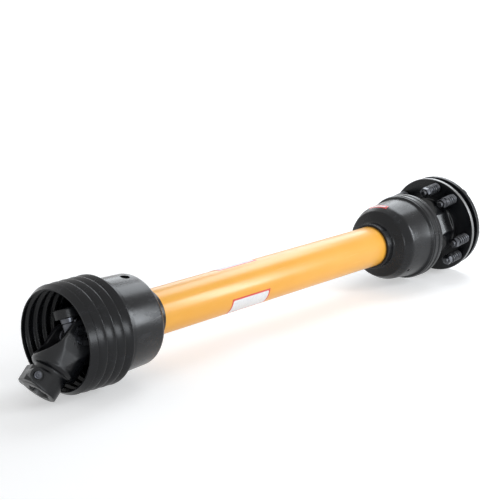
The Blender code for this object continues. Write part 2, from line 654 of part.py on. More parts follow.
# Crosses, cups and grease nipples
def make_cross(name, frame):
    """A cross of four trunnions, and a grease nipple on a boss between two of them."""
    between = (math.radians(45), 0, 0)
    shoulder = CUP_INNER_END - GAP
    end = CUP_OUTER_END - CUP_FLOOR - GAP
    profile = [(-end, 0), (-end, TRUNNION_RADIUS), (-shoulder, TRUNNION_RADIUS),
               (-shoulder, CROSS_SHOULDER_RADIUS), (shoulder, CROSS_SHOULDER_RADIUS),
               (shoulder, TRUNNION_RADIUS), (end, TRUNNION_RADIUS), (end, 0)]
    body = turned(name, profile, frame, "Z", SMALL_STEPS, finish="bright_steel")
    other = turned(f"{name}_second", profile, frame, "Y", SMALL_STEPS)
    boss_end = CROSS_SHOULDER_RADIUS * math.sqrt(2) + NIPPLE_RADIUS
    boss = turned(f"{name}_boss", rod_profile(0, boss_end, NIPPLE_BOSS_RADIUS), frame, "Z", SMALL_STEPS)
    boss.rotation_euler = between
    boolean(body, "UNION", other, boss)
    stem = NIPPLE_RADIUS * 0.55
    start = boss_end + GAP
    tip = start + NIPPLE_LENGTH
    nipple = [(start, 0), (start, NIPPLE_RADIUS), (start + NIPPLE_LENGTH * 0.4, NIPPLE_RADIUS),
              (start + NIPPLE_LENGTH * 0.55, stem), (start + NIPPLE_LENGTH * 0.7, stem),
              (start + NIPPLE_LENGTH * 0.85, NIPPLE_RADIUS * 0.85), (tip, stem), (tip, 0)]
    fitting = turned(f"{name}_nipple", nipple, frame, "Z", NIPPLE_STEPS, finish="bright_steel")
    fitting.rotation_euler = between


def make_cups():
    """Eight bearing cups, each with the circlip that holds it in its ear."""
    bore = bore_radius(TRUNNION_RADIUS, SMALL_STEPS)
    clip = CUP_OUTER_END + GAP
    floor = CUP_OUTER_END - CUP_FLOOR
    profile = [(CUP_INNER_END, bore), (CUP_INNER_END, CUP_RADIUS), (clip, CUP_RADIUS), (clip, CIRCLIP_RADIUS),
               (clip + CIRCLIP_THICKNESS, CIRCLIP_RADIUS), (clip + CIRCLIP_THICKNESS, 0), (floor, 0), (floor, bore)]
    source = turned("cup_form", profile, None, "Z", SMALL_STEPS)
    mesh = baked_mesh("bearing_cup", source)
    inner_ears = {"a": (0, 0, 0), "b": (math.pi, 0, 0)}
    outer_ears = {"a": (math.pi / 2, 0, 0), "b": (-math.pi / 2, 0, 0)}
    groups = (("outer_shaft_cup", DRIVELINE, TRACTOR_JOINT, inner_ears),
              ("inner_shaft_cup", DRIVELINE, IMPLEMENT_JOINT, inner_ears),
              ("tractor_yoke_cup", TRACTOR_YOKE, 0, outer_ears),
              ("flange_yoke_cup", CLUTCH_YOKE, 0, outer_ears))
    for name, frame, position, ears in groups:
        for letter, rotation in ears.items():
            place(f"{name}_{letter}", mesh, frame, (position, 0, 0), rotation, "bright_steel")


# Guard
def make_bellows():
    """The ribbed shield: five ridges behind a plain lip, with a cuff that grips the bell."""
    profile = [(-LIP_LENGTH, LIP_RADIUS)]
    for ridge in range(RIDGE_COUNT):
        crest = RIDGE_FIRST_RADIUS + (RIDGE_LAST_RADIUS - RIDGE_FIRST_RADIUS) * ridge / (RIDGE_COUNT - 1)
        position = ridge * RIDGE_PITCH
        profile.append((position, crest))
        profile.append((position + RIDGE_BACK_LENGTH, crest - RIDGE_DEPTH))
    last = (RIDGE_COUNT - 1) * RIDGE_PITCH + RIDGE_BACK_LENGTH
    cuff = BELL_FRONT_RADIUS + BELLOWS_WALL + GAP
    profile += [(last + 0.0015, cuff), (last + CUFF_LENGTH, cuff)]
    body = turned("bellows", list(reversed(profile)), SHAFT, steps=LARGE_STEPS, finish="black_plastic",
                  closed=False)
    wall = body.modifiers.new("Wall", "SOLIDIFY")
    wall.thickness = BELLOWS_WALL
    wall.offset = -1
    wall.use_even_offset = True


def make_bell():
    """The smooth bell behind the bellows. Its collar holds the outer guard tube and the bearing ring."""
    ring_start = TRACTOR_JOINT + TRACTOR_INNER_HUB_END - RING_END_COLLAR - RING_WIDTH - 2 * GAP
    ring_end = ring_start + RING_WIDTH + 2 * GAP
    corner = (BELL_BACK - BELL_CORNER_RADIUS, BELL_BACK_RADIUS - BELL_CORNER_RADIUS)
    outside = [(BELL_FRONT, BELL_FRONT_RADIUS)]
    outside += arc(corner, BELL_CORNER_RADIUS, 85, 5, 4)
    outside += [(BELL_BACK, COLLAR_RADIUS), (TRACTOR_COLLAR_END, COLLAR_RADIUS)]
    bore = bore_radius(TUBE_RADIUS, GUARD_STEPS)
    pocket = bore_radius(RING_RADIUS, GUARD_STEPS)
    lip = bore_radius(INNER_HUB_RADIUS + RUNNING_GAP, GUARD_STEPS)
    inside = [(TRACTOR_COLLAR_END, bore), (ring_end, bore), (ring_end, pocket), (ring_start, pocket),
              (ring_start, lip), (BELL_BACK - BELL_WALL, lip),
              (BELL_BACK - BELL_WALL, corner[1])]
    inside += arc(corner, BELL_CORNER_RADIUS - BELL_WALL, 30, 85, 2)
    inside += [(BELL_FRONT, BELL_FRONT_RADIUS - BELL_WALL)]
    body = turned("tractor_bell", outside + inside, SHAFT, steps=GUARD_STEPS, finish="black_plastic")
    hole = turned("access_hole", rod_profile(BELL_BACK_RADIUS - 3 * BELL_WALL, BELL_FRONT_RADIUS + CUT_MARGIN,
                                             ACCESS_HOLE_RADIUS),
                  SHAFT, "Z", SMALL_STEPS, (ACCESS_HOLE_POSITION, 0, 0))
    boolean(body, "DIFFERENCE", hole)


def make_guard_tubes():
    """The yellow outer tube and the thinner tube that slides in it."""
    ring_end = TRACTOR_JOINT + TRACTOR_INNER_HUB_END - RING_END_COLLAR
    turned("outer_guard_tube", tube_profile(ring_end + GAP, OUTER_TUBE_END, TUBE_RADIUS, TUBE_RADIUS - TUBE_WALL),
           SHAFT, steps=LARGE_STEPS, finish="yellow_plastic")
    inner_end = IMPLEMENT_JOINT - IMPLEMENT_INNER_HUB_END - GAP
    turned("inner_guard_tube", tube_profile(INNER_TUBE_START, inner_end, INNER_TUBE_RADIUS,
                                            INNER_TUBE_RADIUS - TUBE_WALL),
           SHAFT, steps=TUBE_STEPS, finish="yellow_plastic")


def make_cone():
    """The stepped cone at the implement end. Its collar takes the end of the outer guard tube."""
    ring_end = IMPLEMENT_JOINT - IMPLEMENT_INNER_HUB_END + RING_END_COLLAR + RING_WIDTH + 2 * GAP
    ring_start = ring_end - RING_WIDTH - 2 * GAP
    mouth = bore_radius(TUBE_RADIUS + RUNNING_GAP, GUARD_STEPS)
    bore = bore_radius(INNER_TUBE_RADIUS, GUARD_STEPS)
    pocket = bore_radius(RING_RADIUS, GUARD_STEPS)
    rounding = CONE_BACK_ROUNDING
    corner = (CONE_BACK + rounding * 0.6, CONE_BACK_RADIUS - rounding)
    outside = [(CONE_MOUTH, COLLAR_RADIUS), (CONE_FOOT, COLLAR_RADIUS)]
    outside += arc(corner, rounding, 150, 87, 3)
    outside += [(CONE_STEP, CONE_STEP_RADIUS), (CONE_STEP + 0.004, CONE_RIM_RADIUS - CONE_BEAD_HEIGHT)]
    bead_run = (CONE_RIM - CONE_STEP - 0.006) / 2
    for bead in range(2):
        start = CONE_STEP + 0.006 + bead * bead_run
        outside += [(start + 0.002, CONE_RIM_RADIUS), (start + bead_run - 0.004, CONE_RIM_RADIUS)]
        if bead == 0:
            outside.append((start + bead_run - 0.001, CONE_RIM_RADIUS - CONE_BEAD_HEIGHT))
    outside.append((CONE_RIM, CONE_RIM_RADIUS - CONE_WALL / 2))
    inside = [(CONE_RIM, CONE_RIM_RADIUS - CONE_WALL), (CONE_STEP + 0.004, CONE_RIM_RADIUS - CONE_WALL - 0.001),
              (CONE_STEP + 0.001, CONE_STEP_RADIUS - CONE_WALL),
              (CONE_BACK + rounding, CONE_BACK_RADIUS - CONE_WALL),
              (CONE_BACK + CONE_WALL * 0.5, CONE_BACK_RADIUS - CONE_WALL - rounding)]
    inside += [(CONE_FOOT + CONE_WALL * 1.6, COLLAR_RADIUS + 0.0015), (ring_end, COLLAR_RADIUS + 0.0015)]
    inside += [(ring_end, pocket), (ring_start, pocket), (ring_start, bore), (CONE_TUBE_STOP, bore),
               (CONE_TUBE_STOP, mouth), (CONE_MOUTH, mouth)]
    body = turned("implement_cone", outside + inside, SHAFT, steps=GUARD_STEPS, finish="black_plastic")
    hole = turned("chain_hole", rod_profile(CONE_BACK_RADIUS - 3 * CONE_WALL, CONE_RIM_RADIUS, CHAIN_HOLE_RADIUS),
                  SHAFT, "Z", SMALL_STEPS, (CHAIN_HOLE_POSITION, 0, 0))
    hole.rotation_euler = (-CHAIN_HOLE_TURN, 0, 0)
    boolean(body, "DIFFERENCE", hole)


def make_bearing_rings():
    """Split rings that run in the grooves of the inner yokes and carry the guard."""
    inner = bore_radius(GROOVE_RADIUS, HUB_STEPS)
    groove_end = TRACTOR_JOINT + TRACTOR_INNER_HUB_END - RING_END_COLLAR
    tractor_start = groove_end - GAP - RING_WIDTH
    implement_start = IMPLEMENT_JOINT - IMPLEMENT_INNER_HUB_END + RING_END_COLLAR + GAP
    for name, start in (("tractor_bearing_ring", tractor_start), ("implement_bearing_ring", implement_start)):
        body = turned(name, tube_profile(start, start + RING_WIDTH, RING_RADIUS, inner), SHAFT,
                      steps=HUB_STEPS, finish="white_nylon")
        bpy.ops.mesh.primitive_cube_add(size=1)
        cube = bpy.context.object
        height = 2 * RING_RADIUS
        cube.data.transform(Matrix.Diagonal((4 * RING_WIDTH, RING_SPLIT, height, 1)))
        split = place(f"{name}_split", baked_mesh(f"{name}_split", cube), SHAFT, (start, 0, height / 2))
        boolean(body, "DIFFERENCE", split)


# Friction clutch
def bolt_turns():
    """The eight bolts sit in four pairs, between the arms of the flange yoke."""
    for pair in range(BOLT_PAIRS):
        middle = BOLT_PAIR_TURN + pair * 2 * math.pi / BOLT_PAIRS
        for side in (-0.5, 0.5):
            yield middle + side * BOLT_PAIR_SPREAD


def bolt_places():
    for number, turn in enumerate(bolt_turns(), 1):
        yield number, BOLT_PITCH_RADIUS * math.cos(turn), BOLT_PITCH_RADIUS * math.sin(turn)


def bolt_holes(name, body, start, end):
    """One cutter that holds the eight bolt holes."""
    outlines = [circle((-z, y), BOLT_RADIUS + GAP, BOLT_STEPS) for _, y, z in bolt_places()]
    mesh = outline_mesh(f"{name}_bolt_holes", outlines, start, end)
    return place(f"{name}_bolt_holes", mesh, body, rotation=ALONG["X"])


def make_flange_yoke():
    """The clutch's yoke: a fork on a round boss, forged with the plate that the springs bear on."""
    name = "flange_yoke"
    arm_radius = FLANGE_BOSS_RADIUS - FORK_SHOULDER / 2
    body = fork(name, CLUTCH_YOKE, (0, 0, 0), arm_radius, FLANGE_ARM_FOOT, "black_paint")
    boss_front = FLANGE_FRONT - FLANGE_BOSS_HEIGHT
    back = FLANGE_FRONT + FLANGE_THICKNESS
    profile = [(boss_front, 0), (boss_front, FLANGE_BOSS_RADIUS - 0.002), (boss_front + 0.002, FLANGE_BOSS_RADIUS),
               (FLANGE_FRONT, FLANGE_BOSS_RADIUS), (FLANGE_FRONT, PLATE_RADIUS), (back, PLATE_RADIUS), (back, 0)]
    plate = turned(f"{name}_plate", profile, body, steps=LARGE_STEPS)
    centre = turned(f"{name}_centre", rod_profile(0, back + CUT_MARGIN, FLANGE_CENTRE_HOLE_RADIUS), body,
                    steps=HUB_STEPS)
    boolean(body, "UNION", plate)
    boolean(body, "DIFFERENCE", cup_bores(name, body), centre,
            bolt_holes(name, body, FLANGE_FRONT - CUT_MARGIN, back + CUT_MARGIN))


def make_pressure_plate():
    """The plate that the eight bolts draw towards the flange, and the bush that centres the hub in it."""
    bush_bore = bore_radius(CLUTCH_HUB_RADIUS, TUBE_STEPS)
    bush_radius = bush_bore + BUSH_WALL
    body = turned("pressure_plate", tube_profile(PRESSURE_PLATE, CLUTCH_BACK, PRESSURE_PLATE_RADIUS,
                                                 bore_radius(bush_radius, LARGE_STEPS)),
                  CLUTCH_YOKE, steps=LARGE_STEPS, finish="black_paint")
    boolean(body, "DIFFERENCE", bolt_holes("pressure_plate", CLUTCH_YOKE, PRESSURE_PLATE - CUT_MARGIN,
                                           CLUTCH_BACK + CUT_MARGIN))
    turned("clutch_bush", tube_profile(PRESSURE_PLATE, CLUTCH_BACK, bush_radius, bush_bore),
           CLUTCH_YOKE, steps=TUBE_STEPS, finish="white_nylon")


def make_linings():
    for name, start in (("friction_lining_front", FRONT_LINING), ("friction_lining_rear", REAR_LINING)):
        turned(name, tube_profile(start, start + LINING_THICKNESS, LINING_RADIUS, LINING_INNER_RADIUS),
               CLUTCH_YOKE, steps=TUBE_STEPS, finish="brown_lining")


def make_clutch_hub():
    """The splined hub with its drive plate, which slips between the linings, and its clamp bolt's bore."""
    name = "clutch_hub"
    front = FRONT_LINING
    profile = [(front, 0), (front, CLUTCH_HUB_RADIUS), (DRIVE_PLATE, CLUTCH_HUB_RADIUS),
               (DRIVE_PLATE, LINING_RADIUS), (DRIVE_PLATE + DRIVE_PLATE_THICKNESS, LINING_RADIUS),
               (DRIVE_PLATE + DRIVE_PLATE_THICKNESS, CLUTCH_HUB_RADIUS),
               (CLUTCH_HUB_END - HUB_CHAMFER, CLUTCH_HUB_RADIUS),
               (CLUTCH_HUB_END, CLUTCH_HUB_RADIUS - HUB_CHAMFER), (CLUTCH_HUB_END, 0)]
    body = turned(name, profile, CLUTCH_YOKE, steps=TUBE_STEPS, finish="black_paint")
    middle = (CLUTCH_BACK + CLUTCH_HUB_END) / 2
    seat = BOLT_HEAD_RADIUS + RUNNING_GAP
    shank = CLAMP_BOLT_RADIUS + GAP
    half = CLAMP_BOLT_GRIP / 2
    end = CLUTCH_HUB_RADIUS + CUT_MARGIN
    steps = [(-end, 0), (-end, seat), (-half, seat), (-half, shank),
             (half, shank), (half, seat), (end, seat), (end, 0)]
    clamp = turned(f"{name}_clamp_bore", steps, CLUTCH_YOKE, "Y", SMALL_STEPS, (middle, 0, CLAMP_BOLT_OFFSET))
    spline = splined_cutter(name, CLUTCH_YOKE, front - CUT_MARGIN, CLUTCH_HUB_END + CUT_MARGIN)
    boolean(body, "DIFFERENCE", spline, clamp)


def make_clamp_bolt():
    """The bolt across the clutch hub that grips the groove of the implement's shaft, with its nut."""
    middle = (CLUTCH_BACK + CLUTCH_HUB_END) / 2
    half = CLAMP_BOLT_GRIP / 2 + GAP
    shank = turned("clamp_form", rod_profile(-half - BOLT_HEAD_HEIGHT / 2, half + BOLT_HEAD_HEIGHT + 0.003,
                                             CLAMP_BOLT_RADIUS), None, "Z", SMALL_STEPS)
    head = place("clamp_head", outline_mesh("clamp_head", [circle((0, 0), BOLT_HEAD_RADIUS, 6)],
                                            -half - BOLT_HEAD_HEIGHT, -half), None)
    nut = place("clamp_nut", outline_mesh("clamp_nut", [circle((0, 0), BOLT_HEAD_RADIUS, 6)],
                                          half, half + BOLT_HEAD_HEIGHT), None)
    boolean(shank, "UNION", head, nut)
    mesh = baked_mesh("hub_clamp_bolt", shank)
    place("hub_clamp_bolt", mesh, CLUTCH_YOKE, (middle, 0, CLAMP_BOLT_OFFSET), ALONG["Y"], "bright_steel")


def make_bolts_and_nuts():
    """Eight bolts from the back of the clutch, each with a nut that holds its spring down."""
    back = CLUTCH_BACK + GAP
    shank = turned("bolt_form", rod_profile(BOLT_FRONT, back + BOLT_HEAD_HEIGHT / 2, BOLT_RADIUS, 0.0008),
                   None, "Z", BOLT_STEPS)
    head = place("bolt_head", outline_mesh("bolt_head", [circle((0, 0), BOLT_HEAD_RADIUS, 6)], back,
                                           back + BOLT_HEAD_HEIGHT), None)
    boolean(shank, "UNION", head)
    bolt = baked_mesh("clutch_bolt", shank)
    hole = circle((0, 0), BOLT_RADIUS + GAP, BOLT_STEPS)
    nut = outline_mesh("clutch_nut", [circle((0, 0), BOLT_HEAD_RADIUS, 6), hole], NUT_FRONT, NUT_FRONT + NUT_HEIGHT)
    for number, y, z in bolt_places():
        place(f"clutch_bolt_{number}", bolt, CLUTCH_YOKE, (0, y, z), ALONG["X"], "dark_steel")
        place(f"clutch_nut_{number}", nut, CLUTCH_YOKE, (0, y, z), ALONG["X"], "bright_steel")


def coil_points():
    """A compression spring's centre line along Z, with its end turns closed up."""
    mean = SPRING_RADIUS - SPRING_WIRE_RADIUS
    run = SPRING_LENGTH - 2 * SPRING_WIRE_RADIUS
    active_pitch = (run - 2 * SPRING_CLOSED_PITCH) / SPRING_ACTIVE_TURNS
    turns = SPRING_ACTIVE_TURNS + 2
    count = round(turns * SPRING_POINTS_PER_TURN)
    points = []
    for index in range(count + 1):
        turn = turns * index / count
        closed = min(turn, 1) + max(turn - 1 - SPRING_ACTIVE_TURNS, 0)
        active = min(max(turn - 1, 0), SPRING_ACTIVE_TURNS)
        along = SPRING_WIRE_RADIUS + closed * SPRING_CLOSED_PITCH + active * active_pitch
        angle = 2 * math.pi * turn
        points.append((mean * math.cos(angle), mean * math.sin(angle), along))
    return points


def make_springs():
    """Eight coil springs between the nuts and the flange."""
    curve = bpy.data.curves.new("clutch_spring", "CURVE")
    curve.dimensions = "3D"
    curve.bevel_depth = SPRING_WIRE_RADIUS
    curve.bevel_resolution = 1
    curve.use_fill_caps = True
    points = coil_points()
    spline = curve.splines.new("POLY")
    spline.points.add(len(points) - 1)
    for point, place_of_point in zip(spline.points, points):
        point.co = (*place_of_point, 1)
    for number, y, z in bolt_places():
        place(f"clutch_spring_{number}", curve, CLUTCH_YOKE, (SPRING_FRONT, y, z), ALONG["X"], "dark_steel")


def settle_on_ground():
    """Moves the shaft so that its box stands centred on the origin, with its lowest point on the ground."""
    bpy.context.view_layer.update()
    graph = bpy.context.evaluated_depsgraph_get()
    corners = []
    for obj in PARTS.objects:
        if obj.type == "EMPTY":
            continue
        shown = obj.evaluated_get(graph)
        mesh = shown.to_mesh()
        world = obj.matrix_world
        corners += [world @ vertex.co for vertex in mesh.vertices]
        shown.to_mesh_clear()
    low = Vector([min(corner[i] for corner in corners) for i in range(3)])
    high = Vector([max(corner[i] for corner in corners) for i in range(3)])
    SHAFT.location.x -= (low.x + high.x) / 2
    SHAFT.location.y -= (low.y + high.y) / 2
    SHAFT.location.z -= low.z
    bpy.context.view_layer.update()


make_tractor_yoke()
make_release_pin()
make_shafts()
make_cross("tractor_cross", TRACTOR_CROSS)
make_cross("clutch_cross", CLUTCH_CROSS)
make_cups()
make_bellows()
make_bell()
make_guard_tubes()
make_cone()
make_bearing_rings()
make_flange_yoke()
make_pressure_plate()
make_linings()
make_clutch_hub()
make_clamp_bolt()
make_bolts_and_nuts()
make_springs()
settle_on_ground()
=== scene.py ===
# %% [markdown]
# A power take-off drive shaft for farm machines, lying on a pale studio floor.
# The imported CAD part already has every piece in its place, with its joints.
# This notebook gives each piece its fine shape and its finish, and then lights and frames the whole.

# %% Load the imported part
import json
import math

import bmesh
import bpy
from mathutils import Matrix, Vector


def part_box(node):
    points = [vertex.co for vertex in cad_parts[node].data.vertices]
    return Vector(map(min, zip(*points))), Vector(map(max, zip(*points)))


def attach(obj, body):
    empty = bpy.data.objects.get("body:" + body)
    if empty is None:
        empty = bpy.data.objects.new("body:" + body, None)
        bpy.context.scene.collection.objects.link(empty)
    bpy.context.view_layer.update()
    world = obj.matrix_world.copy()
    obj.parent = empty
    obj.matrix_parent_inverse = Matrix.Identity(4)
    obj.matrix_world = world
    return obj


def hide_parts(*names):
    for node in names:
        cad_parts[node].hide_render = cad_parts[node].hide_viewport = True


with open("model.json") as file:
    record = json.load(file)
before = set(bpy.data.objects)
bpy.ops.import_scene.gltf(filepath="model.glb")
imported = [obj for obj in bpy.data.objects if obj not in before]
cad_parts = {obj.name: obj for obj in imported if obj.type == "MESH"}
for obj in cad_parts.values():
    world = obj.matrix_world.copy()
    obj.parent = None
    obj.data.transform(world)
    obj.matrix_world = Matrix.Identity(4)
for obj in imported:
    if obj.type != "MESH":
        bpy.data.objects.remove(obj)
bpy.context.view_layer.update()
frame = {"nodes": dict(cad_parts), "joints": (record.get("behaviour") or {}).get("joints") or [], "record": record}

# %% [markdown]
# Every piece is drawn in the frame of the body that carries it, where it stands straight.
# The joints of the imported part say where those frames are, so nothing here is placed by eye.
# In each frame X runs along the piece, and the trunnions of a universal joint lie on Y and Z.

# %% Frames of the moving bodies
LIP_LENGTH = 0.0095
JOINTS = {joint["name"]: joint for joint in frame["joints"]}
MOUNTS = {mount["name"]: mount for mount in frame["record"]["mounts"]}


def body_frame(origin, along, across):
    """The matrix of a frame, from its origin, its X axis and its Y axis."""
    along, across = Vector(along).normalized(), Vector(across).normalized()
    turn = Matrix((along, across, along.cross(across))).transposed()
    return Matrix.Translation(origin) @ turn.to_4x4()


def joint_axis(name):
    return Vector(JOINTS[name]["axis"])


TRACTOR_JOINT = Vector(JOINTS["tractor_cross_swing"]["pos_m"])
CLUTCH_JOINT = Vector(JOINTS["clutch_cross_swing"]["pos_m"])
ALONG = Vector((1, 0, 0))
UPRIGHT = joint_axis("tractor_cross_swing")
START = Vector((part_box("bellows")[0].x + LIP_LENGTH, 0, TRACTOR_JOINT.z))
SHAFT = body_frame(START, ALONG, (0, 1, 0))
TRACTOR_SHAFT = body_frame(TRACTOR_JOINT, ALONG, UPRIGHT.cross(ALONG))
CLUTCH_SHAFT = body_frame(CLUTCH_JOINT, -ALONG, ALONG.cross(UPRIGHT))
TRACTOR_ACROSS = joint_axis("tractor_yoke_swing")
CLUTCH_ACROSS = joint_axis("clutch_yoke_swing")
TRACTOR_CROSS = body_frame(TRACTOR_JOINT, TRACTOR_ACROSS.cross(UPRIGHT), TRACTOR_ACROSS)
CLUTCH_CROSS = body_frame(CLUTCH_JOINT, CLUTCH_ACROSS.cross(UPRIGHT), CLUTCH_ACROSS)
TRACTOR_YOKE = body_frame(TRACTOR_JOINT, MOUNTS["tractor_hub_face"]["axis"], -TRACTOR_ACROSS)
CLUTCH_YOKE = body_frame(CLUTCH_JOINT, joint_axis("clutch_slip"), CLUTCH_ACROSS)
print("The shaft's axis is", round(START.z * 1000, 1), "mm above the floor")

# %% [markdown]
# Materials and Geometry Nodes are both trees of nodes.
# Wired by hand, each sum takes several lines, so a small class wraps a socket and lets Python's
# operators add the Math nodes. A second class adds any other node: its kind, its settings, its inputs.

# %% Node trees written as Python expressions
def operator_pair(operation):
    """The method of an operator, and its reflected form for a plain number on the left."""
    def forward(self, other):
        return self.graph.maths(operation, self, other)

    def reflected(self, other):
        return self.graph.maths(operation, other, self)

    return forward, reflected


class Wire:
    """An output socket that Python's operators work on."""

    def __init__(self, graph, socket):
        self.graph = graph
        self.socket = socket

    __add__, __radd__ = operator_pair("ADD")
    __sub__, __rsub__ = operator_pair("SUBTRACT")
    __mul__, __rmul__ = operator_pair("MULTIPLY")
    __truediv__, __rtruediv__ = operator_pair("DIVIDE")
    __mod__, __rmod__ = operator_pair("FLOORED_MODULO")
    __gt__, __lt__ = operator_pair("GREATER_THAN")


class Graph:
    """A node tree. Inputs are given by name or number, and take a value or a wire."""

    def __init__(self, tree):
        self.tree = tree

    def node(self, kind, settings=(), inputs=(), output=0):
        made = self.tree.nodes.new(kind)
        for name, value in dict(settings).items():
            setattr(made, name, value)
        for name, value in dict(inputs).items():
            if isinstance(value, Wire):
                self.tree.links.new(value.socket, made.inputs[name])
            else:
                made.inputs[name].default_value = value
        return Wire(self, made.outputs[output])

    def maths(self, operation, *values):
        return self.node("ShaderNodeMath", {"operation": operation}, enumerate(values))

    def parts(self, vector):
        """The X and the Y of a vector."""
        return [self.node("ShaderNodeSeparateXYZ", inputs={0: vector}, output=axis) for axis in range(2)]

    def vector(self, x=0.0, y=0.0, z=0.0):
        return self.node("ShaderNodeCombineXYZ", inputs={0: x, 1: y, 2: z})

    def round_axis(self, along, radius, turn, rise=0.0):
        """The point at a radius and a turn round the X axis, lifted a little if asked."""
        y, z = [radius * self.maths(function, turn) for function in ("COSINE", "SINE")]
        return self.vector(along, y, z + rise)


# %% [markdown]
# A finish is one Principled material. What varies over a real surface is its colour, its roughness
# and its fine relief, so those three get noise at the scale of the real wear.
# All patterns read Object coordinates. Every piece keeps its object at the origin, so a noise scale
# is in waves per metre, and the pattern stays with the piece when a joint moves it.

# %% Tools for the finishes
class Finish(Graph):
    """A material's tree, with the patterns that the finishes share."""

    def __init__(self, name):
        self.material = bpy.data.materials.new(name)
        self.material.use_nodes = True
        super().__init__(self.material.node_tree)
        self.shader = self.tree.nodes["Principled BSDF"]
        self.place = self.node("ShaderNodeTexCoord", output="Object")

    def stretched(self, *scale):
        """Object coordinates scaled along X, Y and Z, for grain that runs one way."""
        return self.node("ShaderNodeMapping", inputs={"Vector": self.place, "Scale": scale})

    def noise(self, scale, detail=3.0, roughness=0.5, place=None):
        inputs = {"Vector": place or self.place, "Scale": scale, "Detail": detail, "Roughness": roughness}
        return self.node("ShaderNodeTexNoise", inputs=inputs)

    def step(self, value, low, high):
        """0 below low, 1 above high and a smooth change between them."""
        inputs = {"Value": value, "From Min": low, "From Max": high}
        return self.node("ShaderNodeMapRange", {"interpolation_type": "SMOOTHSTEP"}, inputs)

    def mix(self, factor, first, second):
        inputs = {0: factor, 6: first, 7: second}
        return self.node("ShaderNodeMix", {"data_type": "RGBA"}, inputs, 2)

    def relief(self, height, distance, strength=1.0):
        inputs = {"Height": height, "Distance": distance, "Strength": strength}
        return self.node("ShaderNodeBump", inputs=inputs, output="Normal")

    def set(self, **values):
        """Sets the shader's inputs. A name like base_color stands for Base Color."""
        names = {name.lower().replace(" ", "_"): name for name in self.shader.inputs.keys()}
        for name, value in values.items():
            socket = self.shader.inputs[names[name]]
            if isinstance(value, Wire):
                self.tree.links.new(value.socket, socket)
            else:
                socket.default_value = value
        return self.material


def colour(red, green, blue):
    return (red, green, blue, 1.0)


# %% [markdown]
# The guard's ends are moulded from black plastic.
# Handling leaves grey scuffs and a faint bloom on it, and the mould leaves a very fine grain.

# %% Black moulded plastic
def black_plastic():
    finish = Finish("black_plastic")
    bloom = finish.step(finish.noise(9, 4), 0.35, 0.70)
    streaks = finish.noise(70, 5, 0.65, finish.stretched(0.35, 1, 1))
    scuffs = finish.step(streaks, 0.52, 0.74)
    plain = finish.mix(bloom, colour(0.004, 0.0044, 0.0055), colour(0.008, 0.0084, 0.0095))
    return finish.set(
        base_color=finish.mix(scuffs * 0.4, plain, colour(0.028, 0.030, 0.034)),
        roughness=0.23 + bloom * 0.05 + scuffs * 0.10,
        normal=finish.relief(finish.noise(1400, 2) + finish.noise(160, 2) * 0.6, 0.00006, 0.55),
        specular_ior_level=0.28)


# %% [markdown]
# The guard tube is extruded, so its colour and its gloss vary in long streaks and hardly round it.

# %% Yellow extruded plastic
def yellow_plastic():
    finish = Finish("yellow_plastic")
    streaks = finish.noise(120, 3, 0.55, finish.stretched(0.02, 1, 1))
    cloud = finish.step(finish.noise(7, 3), 0.3, 0.75)
    scratches = finish.step(finish.noise(420, 2, 0.5, finish.stretched(0.05, 1, 1)), 0.66, 0.74)
    base = finish.mix(cloud, colour(0.89, 0.405, 0.040), colour(0.93, 0.455, 0.060))
    return finish.set(
        base_color=finish.mix(scratches * 0.25, base, colour(0.98, 0.66, 0.20)),
        roughness=0.25 + streaks * 0.10 + scratches * 0.12,
        normal=finish.relief(streaks, 0.00012, 0.30),
        coat_weight=0.08,
        coat_roughness=0.12)


# %% [markdown]
# Forgings keep a coarse skin under their black paint, with small chips where steel shines through.
# A machined face is bare steel all over. Such faces carry an attribute that the shader reads.

# %% Black paint on forged steel
def black_paint():
    finish = Finish("black_paint")
    skin = finish.noise(260, 4, 0.6)
    bare = finish.node("ShaderNodeAttribute", {"attribute_name": "bare"}, output="Fac")
    cloud = finish.step(finish.noise(30, 3), 0.35, 0.7)
    chips = finish.maths("MAXIMUM", finish.step(finish.noise(330, 3, 0.7), 0.735, 0.76), bare)
    paint = finish.mix(cloud, colour(0.004, 0.0044, 0.0055), colour(0.009, 0.0095, 0.011))
    return finish.set(
        base_color=finish.mix(chips, paint, colour(0.20, 0.20, 0.20)),
        roughness=0.26 + cloud * 0.12 + chips * 0.10,
        metallic=chips,
        normal=finish.relief(skin * (1.0 - bare) - chips * 0.3, 0.00014, 0.30),
        specular_ior_level=0.33)


# %% [markdown]
# Pins, cups and nuts are ground steel that storage oil has darkened. Springs and bolts are blackened.

# %% Ground steel and blackened steel
def bright_steel():
    finish = Finish("bright_steel")
    cloud = finish.step(finish.noise(90, 4), 0.3, 0.75)
    return finish.set(
        base_color=finish.mix(cloud, colour(0.065, 0.068, 0.078), colour(0.13, 0.133, 0.145)),
        metallic=1.0,
        roughness=0.24 + cloud * 0.16,
        normal=finish.relief(finish.noise(900, 3), 0.00005, 0.4))


def dark_steel():
    finish = Finish("dark_steel")
    cloud = finish.step(finish.noise(140, 4), 0.35, 0.7)
    return finish.set(
        base_color=finish.mix(cloud, colour(0.065, 0.067, 0.075), colour(0.14, 0.142, 0.15)),
        metallic=0.9,
        roughness=0.30 + cloud * 0.15,
        normal=finish.relief(finish.noise(700, 3), 0.00006, 0.4))


# %% [markdown]
# Nylon is milky and soft in its gloss. Friction lining is pressed fibre, matt and speckled.

# %% Nylon and friction lining
def white_nylon():
    finish = Finish("white_nylon")
    cloud = finish.noise(60, 3)
    return finish.set(
        base_color=finish.mix(cloud, colour(0.70, 0.68, 0.61), colour(0.80, 0.78, 0.72)),
        roughness=0.38 + cloud * 0.15,
        normal=finish.relief(finish.noise(500, 2), 0.00005, 0.4),
        subsurface_weight=0.05)


